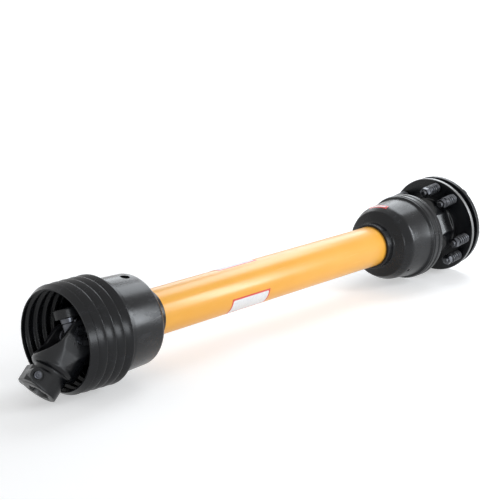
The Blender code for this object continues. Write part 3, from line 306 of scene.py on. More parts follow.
def brown_lining():
    finish = Finish("brown_lining")
    fibre = finish.noise(900, 4, 0.7)
    speck = finish.step(finish.noise(1500, 1), 0.66, 0.70)
    base = finish.mix(fibre, colour(0.10, 0.070, 0.045), colour(0.22, 0.16, 0.11))
    return finish.set(
        base_color=finish.mix(speck, base, colour(0.55, 0.42, 0.20)),
        roughness=0.80 + speck * -0.2,
        normal=finish.relief(fibre, 0.0002, 0.5))


MAKERS = (black_plastic, yellow_plastic, black_paint, bright_steel, dark_steel, white_nylon, brown_lining)
FINISHES = {make.__name__: make() for make in MAKERS}
print("Finishes:", ", ".join(FINISHES))

# %% [markdown]
# The CAD nodes that stay as they are, deep inside the guard, only need the right finish.

# %% Finishes for the CAD nodes
for row in frame["record"]["subparts"]:
    node = frame["nodes"][row["node"]]
    node.data.materials.clear()
    node.data.materials.append(FINISHES[row["material_slot"]])

# %% [markdown]
# Most pieces of a shaft are turned or moulded round an axis, so one helper turns a profile round X.
# A sharp corner never shows on a real moulding. A second helper rounds every corner of the profile
# first, because a profile is rounded far more cheaply than a finished mesh.

# %% Profiles, and shapes turned from them
FINE_STEPS = 160
MEDIUM_STEPS = 96
SMALL_STEPS = 48
BOLT_STEPS = 24
NEARLY_ZERO = 1e-6
CORNER_SHARE = 0.45
CUT_MARGIN = 0.004


def rounded(profile, radius, count=4, closed=True):
    """The profile with each corner replaced by a small curve. A corner on the axis stays."""
    points = [Vector(point) for point in profile]
    last = len(points) - 1
    made = []
    for index, corner in enumerate(points):
        on_end = not closed and index in (0, last)
        if on_end or corner.y < NEARLY_ZERO:
            made.append(tuple(corner))
            continue
        before, after = points[index - 1] - corner, points[(index + 1) % len(points)] - corner
        half = (math.pi - before.angle(after)) / 2
        reach = min(radius * math.tan(half), before.length * CORNER_SHARE, after.length * CORNER_SHARE)
        if reach < NEARLY_ZERO:
            made.append(tuple(corner))
            continue
        first, second = corner + before.normalized() * reach, corner + after.normalized() * reach
        for step in range(count + 1):
            t = step / count
            made.append(tuple(first * (1 - t) ** 2 + corner * 2 * t * (1 - t) + second * t * t))
    return made


def mesh_of(shape, name, turn_out=True):
    """The mesh of a bmesh. Its faces are turned outwards first, unless they already are."""
    if turn_out:
        bmesh.ops.recalc_face_normals(shape, faces=shape.faces)
    mesh = bpy.data.meshes.new(name)
    shape.to_mesh(mesh)
    shape.free()
    return mesh


def revolved(profile, steps):
    """A mesh with the profile of (along, radius) points turned once round the X axis."""
    shape = bmesh.new()
    rings = []
    for along, radius in profile:
        if radius < NEARLY_ZERO:
            rings.append([shape.verts.new((along, 0, 0))] * steps)
            continue
        turns = [2 * math.pi * step / steps for step in range(steps)]
        rings.append([shape.verts.new((along, radius * math.cos(t), radius * math.sin(t))) for t in turns])
    for first, second in zip(rings, rings[1:] + rings[:1]):
        for step in range(steps):
            other = (step + 1) % steps
            corners = list(dict.fromkeys((first[step], first[other], second[other], second[step])))
            if len(corners) > 2:
                shape.faces.new(corners)
    return mesh_of(shape, "turned")


def tube_profile(start, end, outer, inner):
    return [(start, inner), (start, outer), (end, outer), (end, inner)]


def rod_profile(start, end, radius):
    return [(start, 0), (start, radius), (end, radius), (end, 0)]


# %% [markdown]
# A finished piece gets its place in its mesh, its finish and its body, and the CAD nodes it stands for are hidden.
# Modifiers run on throwaway objects, whose evaluated mesh is kept.

# %% Helpers for finished pieces
SCENE = bpy.context.scene.collection
SHARP_ANGLE = math.radians(35)


def evaluated_mesh(*objects):
    """The first object's mesh with its modifiers applied. The objects are removed."""
    bpy.context.view_layer.update()
    graph = bpy.context.evaluated_depsgraph_get()
    mesh = bpy.data.meshes.new_from_object(objects[0].evaluated_get(graph))
    for obj in objects:
        bpy.data.objects.remove(obj, do_unlink=True)
    return mesh


def loose_object(mesh):
    """A throwaway object that shows the mesh to modifiers."""
    obj = bpy.data.objects.new("work", mesh)
    SCENE.objects.link(obj)
    return obj


def boolean(mesh, operation, *others):
    """The mesh joined with, cut by or intersected with the others."""
    target = loose_object(mesh)
    helpers = [loose_object(other) for other in others]
    for helper in helpers:
        modifier = target.modifiers.new("Boolean", "BOOLEAN")
        modifier.operation, modifier.solver, modifier.object = operation, "EXACT", helper
    return evaluated_mesh(target, *helpers)


def add_piece(name, mesh, place, body, slot, replaced=(), finish=None, bare=None):
    """Puts a mesh drawn in its body's frame into the scene. The bare test picks its machined faces."""
    if bare:
        mask = mesh.attributes.new("bare", "FLOAT", "FACE")
        for face in mesh.polygons:
            mask.data[face.index].value = float(bare(face.center))
    mesh.transform(place)
    mesh.name = name
    mesh.materials.clear()
    mesh.materials.append(finish or FINISHES[slot])
    mesh.shade_smooth()
    mesh.set_sharp_from_angle(angle=SHARP_ANGLE)
    piece = bpy.data.objects.new(name, mesh)
    SCENE.objects.link(piece)
    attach(piece, body)
    if replaced:
        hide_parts(*replaced)
    mesh.calc_loop_triangles()
    print(f"{name}: {len(mesh.loop_triangles)} triangles on {body}")
    return piece


# %% [markdown]
# Geometry Nodes make what repeats or follows a rule. This class adds named inputs to a tree,
# ends it in Realize Instances and Set Material, and turns its result into a plain mesh.
# A modifier's inputs are set by their identifiers, before the object is evaluated.

# %% Recipes: Geometry Nodes with named inputs
class Recipe(Graph):
    """A Geometry Nodes tree that makes a mesh from named sizes."""

    def __init__(self, name):
        super().__init__(bpy.data.node_groups.new(name, "GeometryNodeTree"))
        self.entry = self.tree.nodes.new("NodeGroupInput")
        self.identifiers = {}
        self.base = self.input("Geometry", "NodeSocketGeometry")
        self.finish = self.input("Finish", "NodeSocketMaterial")

    def input(self, name, kind="NodeSocketFloat"):
        socket = self.tree.interface.new_socket(name, in_out="INPUT", socket_type=kind)
        self.identifiers[name] = socket.identifier
        return Wire(self, self.entry.outputs[name])

    def sizes(self, *names):
        return [self.input(name) for name in names]

    def count(self, name):
        return self.input(name, "NodeSocketInt")

    def moved(self, geometry, place):
        """The geometry with each of its points moved to its place."""
        return self.node("GeometryNodeSetPosition", inputs={"Geometry": geometry, "Position": place})

    def end(self, geometry):
        realized = self.node("GeometryNodeRealizeInstances", inputs={"Geometry": geometry})
        painted = self.node("GeometryNodeSetMaterial", inputs={"Geometry": realized, "Material": self.finish})
        self.tree.interface.new_socket("Geometry", in_out="OUTPUT", socket_type="NodeSocketGeometry")
        leave = self.tree.nodes.new("NodeGroupOutput")
        self.tree.links.new(painted.socket, leave.inputs[0])
        return self

    def mesh(self, base=None, **sizes):
        """The mesh that the recipe makes. A size named wire_radius sets the input Wire Radius."""
        obj = loose_object(base or bpy.data.meshes.new("empty"))
        modifier = obj.modifiers.new("Recipe", "NODES")
        modifier.node_group = self.tree
        for name, value in sizes.items():
            modifier[self.identifiers[name.replace("_", " ").title()]] = value
        return evaluated_mesh(obj)


# %% [markdown]
# The shield at the tractor end is a ribbed bellows: a plain lip, then five folds like stacked cones.
# Each fold widens in a full curve to a narrow flat crest and falls back sharply. That is a saw-tooth
# rule, so Geometry Nodes bend a flat grid into it, with one side along the shaft and the other once
# round it. The inside of a moulded fold is far rounder, so a second skin takes the same rule with its
# radius blurred more. The mouth isn't quite in line with the bell: it leans up a little.

# %% Bellows
RIDGE_COUNT = 5
RIDGE_PITCH = 0.0159
RIDGE_FIRST_RADIUS = 0.0782
RIDGE_LAST_RADIUS = 0.0797
RIDGE_DEPTH = 0.0073
RIDGE_BACK_SHARE = 0.16
LIP_RADIUS = 0.0722
RIDGE_CREST_SHARE = 0.09
RIDGE_BULGE = 0.55
BELLOWS_WALL = 0.0025
BELLOWS_LEAN = 0.0018
OUTSIDE_BLUR = 2
INSIDE_BLUR = 40
CUFF_RADIUS = 0.0731
CUFF_LENGTH = 0.0085
SAMPLES_PER_MM = 2.9
SEAM_DISTANCE = 0.00001


def bellows_recipe():
    recipe = Recipe("ribbed shield")
    ridges, pitch, depth, length = recipe.sizes("Ridges", "Pitch", "Depth", "Length")
    first, last, lip, cuff = recipe.sizes("First Radius", "Last Radius", "Lip Radius", "Cuff Radius")
    lip_length, back, flat, bulge = recipe.sizes("Lip Length", "Back Share", "Crest Share", "Bulge")
    wall, lean = recipe.sizes("Wall", "Lean")
    outside, inside = recipe.count("Outside Blur"), recipe.count("Inside Blur")
    grid = recipe.node("GeometryNodeMeshGrid", inputs={
        "Size X": 1.0, "Size Y": 1.0, "Vertices X": recipe.count("Along Count"),
        "Vertices Y": recipe.count("Round Count")})
    grid_x, grid_y = recipe.parts(recipe.node("GeometryNodeInputPosition"))
    along = (grid_x + 0.5) * length - lip_length
    turn = (grid_y + 0.5) * (2 * math.pi)
    fold = recipe.maths("FLOOR", along / pitch)
    phase = (along / pitch) % 1.0
    growth = (last - first) / (ridges - 1.0)
    crest = first + growth * fold
    falling = crest - depth * (phase / back)
    climb = recipe.maths("MINIMUM", (phase - back) / (1.0 - back - flat), 1.0)
    rising = (crest - depth) + (growth + depth) * (climb * (1.0 + bulge * (1.0 - climb)))
    tooth = recipe.maths("MAXIMUM", recipe.maths("MINIMUM", falling, crest), crest - depth)
    tooth = tooth + (phase > back) * (rising - tooth)
    before = lip + (first - lip) * ((along + lip_length) / lip_length)
    radius = tooth + (along < 0.0) * (before - tooth)
    ridge_end = (ridges - 1.0) * pitch + back * pitch
    radius = radius + (along > ridge_end) * (cuff - radius)
    rise = lean * (1.0 - (along + lip_length) / length)
    skins = []
    for blur, thickness in ((outside, 0.0), (inside, wall)):
        smooth = recipe.node("GeometryNodeBlurAttribute", {"data_type": "FLOAT"},
                             {0: radius, "Iterations": blur})
        bent = recipe.moved(grid, recipe.round_axis(along, smooth - thickness, turn, rise))
        skins.append(recipe.node("GeometryNodeMergeByDistance",
                                 inputs={"Geometry": bent, "Distance": SEAM_DISTANCE}))
    both = recipe.node("GeometryNodeJoinGeometry", inputs={"Geometry": skins[0]})
    recipe.tree.links.new(skins[1].socket, both.socket.node.inputs["Geometry"])
    return recipe.end(both)


bellows_length = LIP_LENGTH + (RIDGE_COUNT - 1 + RIDGE_BACK_SHARE) * RIDGE_PITCH + CUFF_LENGTH
print("The bellows is", round(bellows_length * 1000, 1), "mm long")
bellows_mesh = bellows_recipe().mesh(
    finish=FINISHES["black_plastic"], ridges=float(RIDGE_COUNT), pitch=RIDGE_PITCH, depth=RIDGE_DEPTH,
    first_radius=RIDGE_FIRST_RADIUS, last_radius=RIDGE_LAST_RADIUS, lip_radius=LIP_RADIUS,
    lip_length=LIP_LENGTH, cuff_radius=CUFF_RADIUS, length=bellows_length, back_share=RIDGE_BACK_SHARE,
    crest_share=RIDGE_CREST_SHARE, wall=BELLOWS_WALL, lean=BELLOWS_LEAN, outside_blur=OUTSIDE_BLUR,
    inside_blur=INSIDE_BLUR, bulge=RIDGE_BULGE,
    along_count=round(bellows_length * 1000 * SAMPLES_PER_MM), round_count=FINE_STEPS + 1)


def closed_shell(mesh):
    """The two skins joined by a strip of faces at each end, with all faces turned out."""
    shape = bmesh.new()
    shape.from_mesh(mesh)
    edges = [edge for edge in shape.edges if edge.is_boundary]
    for at_lip in (True, False):
        ends = [edge for edge in edges if (edge.verts[0].co.x < 0) == at_lip]
        middle = sum((vertex.co for edge in ends for vertex in edge.verts), Vector()) / (2 * len(ends))
        ends.sort(key=lambda edge: (edge.verts[0].co - middle).length)
        inner, outer = ends[:len(ends) // 2], ends[len(ends) // 2:]
        rim = {vertex for edge in inner for vertex in edge.verts}
        for edge in outer:
            first, second = edge.verts
            partners = [min(rim, key=lambda other: (other.co - vertex.co).length)
                        for vertex in (second, first)]
            shape.faces.new((first, second, *partners))
    return mesh_of(shape, "bellows")


add_piece("bellows_skin", closed_shell(bellows_mesh), SHAFT, "guard_tractor", "black_plastic", ["bellows"])

# %% [markdown]
# Behind the bellows a smooth bell narrows a little to a rounded shoulder and ends in a collar.
# The access hole on top lets a finger reach the lock of the bearing ring.

# %% Bell at the tractor end
BELL_FRONT = 0.058
BELL_FRONT_RADIUS = 0.0705
BELL_BACK_RADIUS = 0.0677
BELL_BACK = 0.138
BELL_CORNER_RADIUS = 0.010
BELL_WALL = 0.003
TUBE_RADIUS = 0.035
COLLAR_RADIUS = 0.040
COLLAR_END = 0.1645
BEARING_RING_RADIUS = 0.0373
BELL_THROAT_RADIUS = 0.032
BELL_FACE_EDGE = 0.004
MOULDED_EDGE = 0.0018
FIT = 0.0003
ACCESS_HOLE_POSITION = 0.116
ACCESS_HOLE_TURN = math.radians(6)
ACCESS_HOLE_RADIUS = 0.007


def arc(centre, radius, start, end, count=12):
    """Points along an arc from one angle to another, in degrees."""
    turns = [math.radians(start + (end - start) * step / (count - 1)) for step in range(count)]
    return [(centre[0] + radius * math.cos(turn), centre[1] + radius * math.sin(turn)) for turn in turns]


def drill(position, radius, low, high, turn=0):
    """A cutter for a round hole through the guard's wall, turned round the shaft from the top."""
    mesh = revolved(rod_profile(low, high, radius), SMALL_STEPS)
    mesh.transform(Matrix.Translation((position, 0, 0)) @ Matrix.Rotation(turn, 4, "X")
                   @ Matrix.Rotation(-math.pi / 2, 4, "Y"))
    return mesh


def span_along_shaft(node):
    """Where a CAD node starts and ends along the shaft."""
    return [corner.x - START.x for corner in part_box(node)]


def bell_profile():
    corner = (BELL_BACK - BELL_CORNER_RADIUS, BELL_BACK_RADIUS - BELL_CORNER_RADIUS)
    ring_front, ring_back = span_along_shaft("tractor_bearing_ring")
    outside = [(BELL_FRONT, BELL_FRONT_RADIUS)] + arc(corner, BELL_CORNER_RADIUS, 86, 8)
    outside += rounded([(BELL_BACK, corner[1] - BELL_FACE_EDGE), (BELL_BACK, COLLAR_RADIUS),
                        (COLLAR_END, COLLAR_RADIUS), (COLLAR_END, TUBE_RADIUS + FIT)],
                       MOULDED_EDGE, closed=False)
    inner_back = BELL_BACK - BELL_WALL
    inside = [(ring_back, TUBE_RADIUS + FIT), (ring_back, BEARING_RING_RADIUS),
              (ring_front, BEARING_RING_RADIUS), (ring_front, BELL_THROAT_RADIUS),
              (inner_back, BELL_THROAT_RADIUS), (inner_back, corner[1])]
    inside += arc(corner, BELL_CORNER_RADIUS - BELL_WALL, 30, 86, 8)
    return outside + inside + [(BELL_FRONT, BELL_FRONT_RADIUS - BELL_WALL)]


access_hole = drill(ACCESS_HOLE_POSITION, ACCESS_HOLE_RADIUS, BELL_BACK_RADIUS - 3 * BELL_WALL,
                    BELL_FRONT_RADIUS + CUT_MARGIN, ACCESS_HOLE_TURN)
bell = boolean(revolved(bell_profile(), FINE_STEPS), "DIFFERENCE", access_hole)
add_piece("bell_shell", bell, SHAFT, "guard_tractor", "black_plastic", ["tractor_bell"])

# %% [markdown]
# At the implement end the guard is a stepped cone: a steep back, a wide bevel, a slow taper, and
# a wider rim with two raised beads that stiffen it. Its profile is turned like the bell's.

# %% Cone at the implement end
CONE_MOUTH = 0.710
CONE_TUBE_STOP = 0.722
CONE_FOOT = 0.7265
CONE_BEVEL = 0.7330
CONE_BEVEL_RADIUS = 0.0585
CONE_BODY = 0.7490
CONE_BODY_RADIUS = 0.0663
CONE_STEP = 0.7975
CONE_STEP_RADIUS = 0.0700
CONE_ROUNDING = 0.005
CONE_EDGE_ROUNDING = 0.030
CONE_RIM_RADIUS = 0.0753
CONE_RIM = 0.8285
CONE_WALL = 0.003
BEAD_HEIGHT = 0.0012
BEAD_COUNT = 2
FIRST_BEAD = 0.005
BEAD_GAP = 0.002
BEAD_SLOPE = 0.0025
RIM_STEP_LENGTH = 0.003
INSIDE_RIM_STEP_LENGTH = 0.004
INSIDE_SHIFT = 0.001
INSIDE_BEVEL_SHIFT = 0.003
INSIDE_FOOT_SHIFT = 0.0045
INNER_TUBE_RADIUS = 0.0315
TETHER_HOLE_POSITION = 0.757
TETHER_HOLE_TURN = math.radians(131)
TETHER_HOLE_RADIUS = 0.003


def cone_profile():
    """The outside up to the rim, then the inside back, whose corners lie a little nearer the rim."""
    ring_front, ring_back = span_along_shaft("implement_bearing_ring")
    low_rim = CONE_RIM_RADIUS - BEAD_HEIGHT
    inner_rim = CONE_RIM_RADIUS - CONE_WALL
    inner_collar = COLLAR_RADIUS + CONE_WALL / 2
    mid_bevel = ((CONE_BEVEL + CONE_BODY) / 2, (CONE_BEVEL_RADIUS + CONE_BODY_RADIUS) / 2)
    mid_body = ((CONE_STEP + CONE_BODY) / 2, (CONE_STEP_RADIUS + CONE_BODY_RADIUS) / 2)
    back = [(CONE_MOUTH, TUBE_RADIUS + 3 * FIT), (CONE_MOUTH, COLLAR_RADIUS), (CONE_FOOT, COLLAR_RADIUS),
            (CONE_BEVEL, CONE_BEVEL_RADIUS), mid_bevel]
    edge = [mid_bevel, (CONE_BODY, CONE_BODY_RADIUS), mid_body]
    rim = [mid_body, (CONE_STEP, CONE_STEP_RADIUS), (CONE_STEP + RIM_STEP_LENGTH, low_rim)]
    bead_run = (CONE_RIM - CONE_STEP - FIRST_BEAD) / BEAD_COUNT
    for bead in range(BEAD_COUNT):
        start = CONE_STEP + FIRST_BEAD + bead * bead_run
        end = start + bead_run - BEAD_GAP
        rim += [(start, low_rim), (start + BEAD_SLOPE, CONE_RIM_RADIUS),
                (end - BEAD_SLOPE, CONE_RIM_RADIUS), (end, low_rim)]
    rim += [(CONE_RIM, low_rim), (CONE_RIM, inner_rim),
            (CONE_STEP + INSIDE_RIM_STEP_LENGTH, inner_rim - INSIDE_SHIFT)]
    inside = [(CONE_STEP + INSIDE_SHIFT, CONE_STEP_RADIUS - CONE_WALL),
              (CONE_BODY + INSIDE_SHIFT, CONE_BODY_RADIUS - CONE_WALL),
              (CONE_BEVEL + INSIDE_BEVEL_SHIFT, CONE_BEVEL_RADIUS - CONE_WALL),
              (CONE_FOOT + INSIDE_FOOT_SHIFT, inner_collar), (ring_back, inner_collar),
              (ring_back, BEARING_RING_RADIUS), (ring_front, BEARING_RING_RADIUS),
              (ring_front, INNER_TUBE_RADIUS + FIT), (CONE_TUBE_STOP, INNER_TUBE_RADIUS + FIT),
              (CONE_TUBE_STOP, TUBE_RADIUS + 3 * FIT)]
    back = rounded(back, CONE_ROUNDING, closed=False)[:-1]
    edge = rounded(edge, CONE_EDGE_ROUNDING, 6, closed=False)[1:]
    return back + edge + rounded(rim, MOULDED_EDGE, closed=False)[1:] + inside


tether_hole = drill(TETHER_HOLE_POSITION, TETHER_HOLE_RADIUS, CONE_BODY_RADIUS - 3 * CONE_WALL,
                    CONE_RIM_RADIUS, TETHER_HOLE_TURN)
cone = boolean(revolved(cone_profile(), FINE_STEPS), "DIFFERENCE", tether_hole)
add_piece("cone_shell", cone, SHAFT, "guard_implement", "black_plastic", ["implement_cone"])

# %% [markdown]
# Two plastic tubes slide in each other and cover the steel ones. Only the outer one shows here,
# and the inner one comes out when the shaft is drawn longer.

# %% Guard tubes
OUTER_TUBE_START = 0.1473
OUTER_TUBE_END = 0.720
INNER_TUBE_START = 0.230
INNER_TUBE_SHORT_OF_JOINT = 0.1118
TUBE_WALL = 0.0025
TUBE_EDGE = 0.0006
inner_tube_end = CLUTCH_JOINT.x - START.x - INNER_TUBE_SHORT_OF_JOINT
for name, node, body, start, end, radius, steps in (
        ("outer_tube", "outer_guard_tube", "guard_tractor", OUTER_TUBE_START, OUTER_TUBE_END,
         TUBE_RADIUS, FINE_STEPS),
        ("inner_tube", "inner_guard_tube", "guard_implement", INNER_TUBE_START, inner_tube_end,
         INNER_TUBE_RADIUS, MEDIUM_STEPS)):
    tube = revolved(rounded(tube_profile(start, end, radius, radius - TUBE_WALL), TUBE_EDGE), steps)
    add_piece(name, tube, SHAFT, body, "yellow_plastic", [node])

# %% [markdown]
# Two stickers lie on the tube and one on the cone, bare apart from their red border.
# Each is a grid bent onto the surface that carries it, with a UV map, because its border follows
# the sticker and not the world. The shader rounds the corners of the white field.

# %% Sticker finish
LABEL_LENGTH = 0.088
LABEL_WIDTH = 0.033
LABEL_BORDER = 0.0028
LABEL_CORNER = 0.003
LABEL_PRINT_EDGE = 0.0002


def label_finish(name, length, width):
    """White vinyl with a red border. The UV map is in metres from the sticker's centre."""
    finish = Finish(name)
    across = finish.parts(finish.node("ShaderNodeUVMap", {"uv_map": "sticker"}))
    over = []
    for value, size in zip(across, (length, width)):
        straight = size / 2 - LABEL_BORDER - LABEL_CORNER
        over.append(finish.maths("MAXIMUM", finish.maths("ABSOLUTE", value) - straight, 0.0))
    distance = finish.maths("SQRT", over[0] * over[0] + over[1] * over[1])
    border = finish.step(distance, LABEL_CORNER - LABEL_PRINT_EDGE, LABEL_CORNER + LABEL_PRINT_EDGE)
    wear = finish.step(finish.noise(240, 4), 0.4, 0.8)
    white = finish.mix(wear, colour(0.86, 0.86, 0.86), colour(0.74, 0.75, 0.77))
    return finish.set(
        base_color=finish.mix(border, white, colour(0.72, 0.055, 0.050)),
        roughness=0.28 + wear * 0.12,
        normal=finish.relief(finish.noise(300, 2), 0.00004, 0.4))


# %% [markdown]
# A sticker is a thin solid sheet that rests on what lies under it. On the cone the radius changes
# along the sheet, so each row of the grid reads its own from the cone's profile.

# %% Stickers
LABEL_THICKNESS = 0.00015
LABEL_STEPS = 24


def label_mesh(length, width, start, turn, radius_at):
    """A grid of the sticker's size bent onto a turned surface, with its UV map in metres."""
    shape = bmesh.new()
    layer = shape.loops.layers.uv.new("sticker")
    shares = [step / LABEL_STEPS - 0.5 for step in range(LABEL_STEPS + 1)]
    grid = []
    for share in shares:
        place = start + length * share
        radius = radius_at(place) + LABEL_THICKNESS
        turns = [turn + width * other / radius for other in shares]
        grid.append([shape.verts.new((place, radius * math.sin(t), radius * math.cos(t))) for t in turns])
    for column in range(LABEL_STEPS):
        for row in range(LABEL_STEPS):
            corners = ((column, row), (column, row + 1), (column + 1, row + 1), (column + 1, row))
            face = shape.faces.new([grid[c][r] for c, r in corners])
            for loop, (c, r) in zip(face.loops, corners):
                loop[layer].uv = (length * shares[c], width * shares[r])
    bmesh.ops.recalc_face_normals(shape, faces=shape.faces)
    # An open sheet has no inside, so which way its faces point has to be asked.
    first = next(iter(shape.faces))
    if first.normal.dot(Vector((0, *first.calc_center_median().yz))) < 0:
        bmesh.ops.reverse_faces(shape, faces=shape.faces)
    obj = loose_object(mesh_of(shape, "sticker", turn_out=False))
    skin = obj.modifiers.new("Thickness", "SOLIDIFY")
    skin.thickness, skin.offset = LABEL_THICKNESS, -1
    return evaluated_mesh(obj)


def tube_surface(along):
    return TUBE_RADIUS


def cone_surface(along):
    """The cone's radius, read from its profile."""
    points = cone_profile()[2:]
    for (start, low), (end, high) in zip(points, points[1:]):
        if start <= along < end:
            return low + (high - low) * (along - start) / (end - start)


CONE_LABEL_LENGTH = 0.0085
CONE_LABEL_WIDTH = 0.038
CONE_LABEL_PLACE = 0.7480
CONE_LABEL_TURN = math.radians(9)
TUBE_LABEL_PLACES = {"near_sticker": (0.3565, -123), "top_sticker": (0.361, 23)}
TUBE_LABEL = label_finish("tube_sticker", LABEL_LENGTH, LABEL_WIDTH)
CONE_LABEL = label_finish("cone_sticker", CONE_LABEL_LENGTH, CONE_LABEL_WIDTH)
for name, (start, degrees) in TUBE_LABEL_PLACES.items():
    sticker = label_mesh(LABEL_LENGTH, LABEL_WIDTH, start, math.radians(degrees), tube_surface)
    add_piece(name, sticker, SHAFT, "guard_tractor", "yellow_plastic", finish=TUBE_LABEL)
sticker = label_mesh(CONE_LABEL_LENGTH, CONE_LABEL_WIDTH, CONE_LABEL_PLACE, CONE_LABEL_TURN, cone_surface)
add_piece("cone_sticker", sticker, SHAFT, "guard_implement", "black_plastic", finish=CONE_LABEL)

# %% [markdown]
# The four yokes are drop forgings. A fork is where three simple outlines meet: its plan with the
# ears and the crotch, its side view, and a turned form. The meeting edges are far too sharp for a
# forging, so the solid is remeshed in fine voxels and smoothed until its edges look struck.
# The machined faces come after that, because bores and splines are crisp on the real yoke too.

# %% Forks
EAR_RADIUS = 0.021
EAR_INNER_FACE = 0.027
EAR_OUTER_FACE = 0.041
CROTCH_DEPTH = 0.046
FORK_BASE_RADIUS = 0.034
FORK_BASE_END = 0.059
FORK_SHOULDER = 0.004
ARM_SWELL = 0.0012
EAR_ROUND_MARGIN = 0.0005
VOXEL = 0.0011
STRUCK_ROUNDS = 7
print("A fork is", round(2 * EAR_OUTER_FACE * 1000), "mm wide over its ears")


def prism(outline, reach, turn=None):
    """A flat outline in X and Y, extruded to both sides of its plane."""
    shape = bmesh.new()
    face = shape.faces.new([shape.verts.new((x, y, -reach)) for x, y in outline])
    made = bmesh.ops.extrude_face_region(shape, geom=[face])
    moved = [item for item in made["geom"] if isinstance(item, bmesh.types.BMVert)]
    bmesh.ops.translate(shape, verts=moved, vec=(0, 0, 2 * reach))
    mesh = mesh_of(shape, "prism")
    if turn:
        mesh.transform(turn)
    return mesh


def prism_between(outline, start, end):
    """A flat outline laid across X and filled from one place on X to another."""
    turn = Matrix.Translation(((start + end) / 2, 0, 0)) @ Matrix.Rotation(math.pi / 2, 4, "Y")
    return prism(outline, (end - start) / 2, turn)


def mirrored(points):
    """A whole outline from its half above the X axis."""
    return points + [(x, -y) for x, y in reversed(points) if y > 1e-9]


def fork_mesh(base_radius, arm_foot):
    """Two ears on Y, and the arms that join them to a round base along +X."""
    blend = EAR_INNER_FACE
    foot = FORK_BASE_END - FORK_SHOULDER
    ear_end = -EAR_RADIUS - CUT_MARGIN
    past = FORK_BASE_END + CUT_MARGIN
    plan = arc((CROTCH_DEPTH - blend, 0), blend, 0, 90, 24)
    plan += [(ear_end, EAR_INNER_FACE), (ear_end, EAR_OUTER_FACE), (EAR_RADIUS * 0.45, EAR_OUTER_FACE),
             ((EAR_RADIUS * 0.45 + foot) / 2, (EAR_OUTER_FACE + arm_foot) / 2 + ARM_SWELL),
             (foot, arm_foot), (past, arm_foot - 2 * FORK_SHOULDER)]
    side = list(reversed(arc((0, 0), EAR_RADIUS, 90, 180, 20)))
    side += [(EAR_RADIUS * 1.2, EAR_RADIUS * 1.03), (CROTCH_DEPTH * 0.85, (EAR_RADIUS + base_radius) / 2),
             (foot - FORK_SHOULDER, base_radius), (past, base_radius)]
    ear_corner = math.hypot(EAR_RADIUS, EAR_OUTER_FACE) + EAR_ROUND_MARGIN
    round_form = [(ear_end, 0), (ear_end, ear_corner), (EAR_RADIUS * 0.6, ear_corner),
                  (foot - FORK_SHOULDER, base_radius), (foot, base_radius),
                  (FORK_BASE_END, base_radius - FORK_SHOULDER), (FORK_BASE_END, 0)]
    reach = EAR_OUTER_FACE + base_radius
    return boolean(prism(mirrored(plan), reach), "INTERSECT",
                   prism(mirrored(side), reach, Matrix.Rotation(math.pi / 2, 4, "X")),
                   revolved(round_form, MEDIUM_STEPS))


def forged(mesh, rounds=STRUCK_ROUNDS, voxel=VOXEL):
    """The mesh with the soft edges of a forging."""
    obj = loose_object(mesh)
    remesh = obj.modifiers.new("Voxels", "REMESH")
    remesh.mode, remesh.voxel_size = "VOXEL", voxel
    smooth = obj.modifiers.new("Struck edges", "SMOOTH")
    smooth.factor, smooth.iterations = 0.5, rounds
    return evaluated_mesh(obj)


# %% [markdown]
# Each ear is bored for a bearing cup, with a wider seat outside it for the circlip.
# The splined bore of a hub has six wide slots, cut as one outline.

# %% Machined bores
CUP_RADIUS = 0.0135
CUP_INNER_END = 0.0203
CUP_OUTER_END = 0.0373
CIRCLIP_RADIUS = 0.0147
SPLINE_COUNT = 6
SPLINE_MINOR_RADIUS = 0.0149
SPLINE_MAJOR_RADIUS = 0.0175
SPLINE_SLOT_WIDTH = 0.0088
TO_Y = Matrix.Rotation(math.pi / 2, 4, "Z")
TO_Z = Matrix.Rotation(-math.pi / 2, 4, "Y")
print("The splined bore is", round(2 * SPLINE_MINOR_RADIUS * 1000, 1), "mm over its lands and",
      round(2 * SPLINE_MAJOR_RADIUS * 1000, 1), "mm over its slots")


def turned_across(profile, steps, turn, place=(0, 0, 0)):
    """A turned mesh whose axis is laid along Y or Z."""
    mesh = revolved(profile, steps)
    mesh.transform(Matrix.Translation(place) @ turn)
    return mesh


def cup_bores():
    bore, seat, end = CUP_RADIUS + FIT, CIRCLIP_RADIUS + FIT, EAR_OUTER_FACE + CUT_MARGIN
    profile = [(-end, 0), (-end, seat), (-CUP_OUTER_END, seat), (-CUP_OUTER_END, bore),
               (CUP_OUTER_END, bore), (CUP_OUTER_END, seat), (end, seat), (end, 0)]
    return turned_across(profile, SMALL_STEPS, TO_Y)


def splined_cutter(start, end):
    """The splined bore, with its slots, along X."""
    outline = []
    at_floor, at_land = [math.degrees(math.asin(SPLINE_SLOT_WIDTH / 2 / radius))
                         for radius in (SPLINE_MAJOR_RADIUS, SPLINE_MINOR_RADIUS)]
    pitch = 360 / SPLINE_COUNT
    for slot in range(SPLINE_COUNT):
        middle = slot * pitch
        outline += arc((0, 0), SPLINE_MAJOR_RADIUS, middle - at_floor, middle + at_floor, 5)
        outline += arc((0, 0), SPLINE_MINOR_RADIUS, middle + at_land, middle + pitch - at_land, 6)
    return prism_between(outline, start, end)


# %% [markdown]
# The tractor yoke droops out of the bellows. A square block stands on its hub for the push pin,
# whose round boss faces the viewer. All of it is one forging, so it is joined before the voxels.

# %% Tractor yoke
TRACTOR_HUB_RADIUS = 0.025
TRACTOR_HUB_END = 0.0915
PIN_POSITION = 0.0785
PIN_OFFSET = 0.021
PIN_RADIUS = 0.0055
PIN_BLOCK_LENGTH = 0.024
PIN_BLOCK_WALL = 0.0100
PIN_BLOCK_HALF_WIDTH = 0.025
PIN_BOSS_RADIUS = 0.0105
PIN_BOSS_HEIGHT = 0.0018
PIN_BOSS_RIM = 0.0018
PIN_BORE_START = -0.020
PIN_EDGE = 0.0006
FORK_ARM_FOOT = FORK_BASE_RADIUS - 0.001


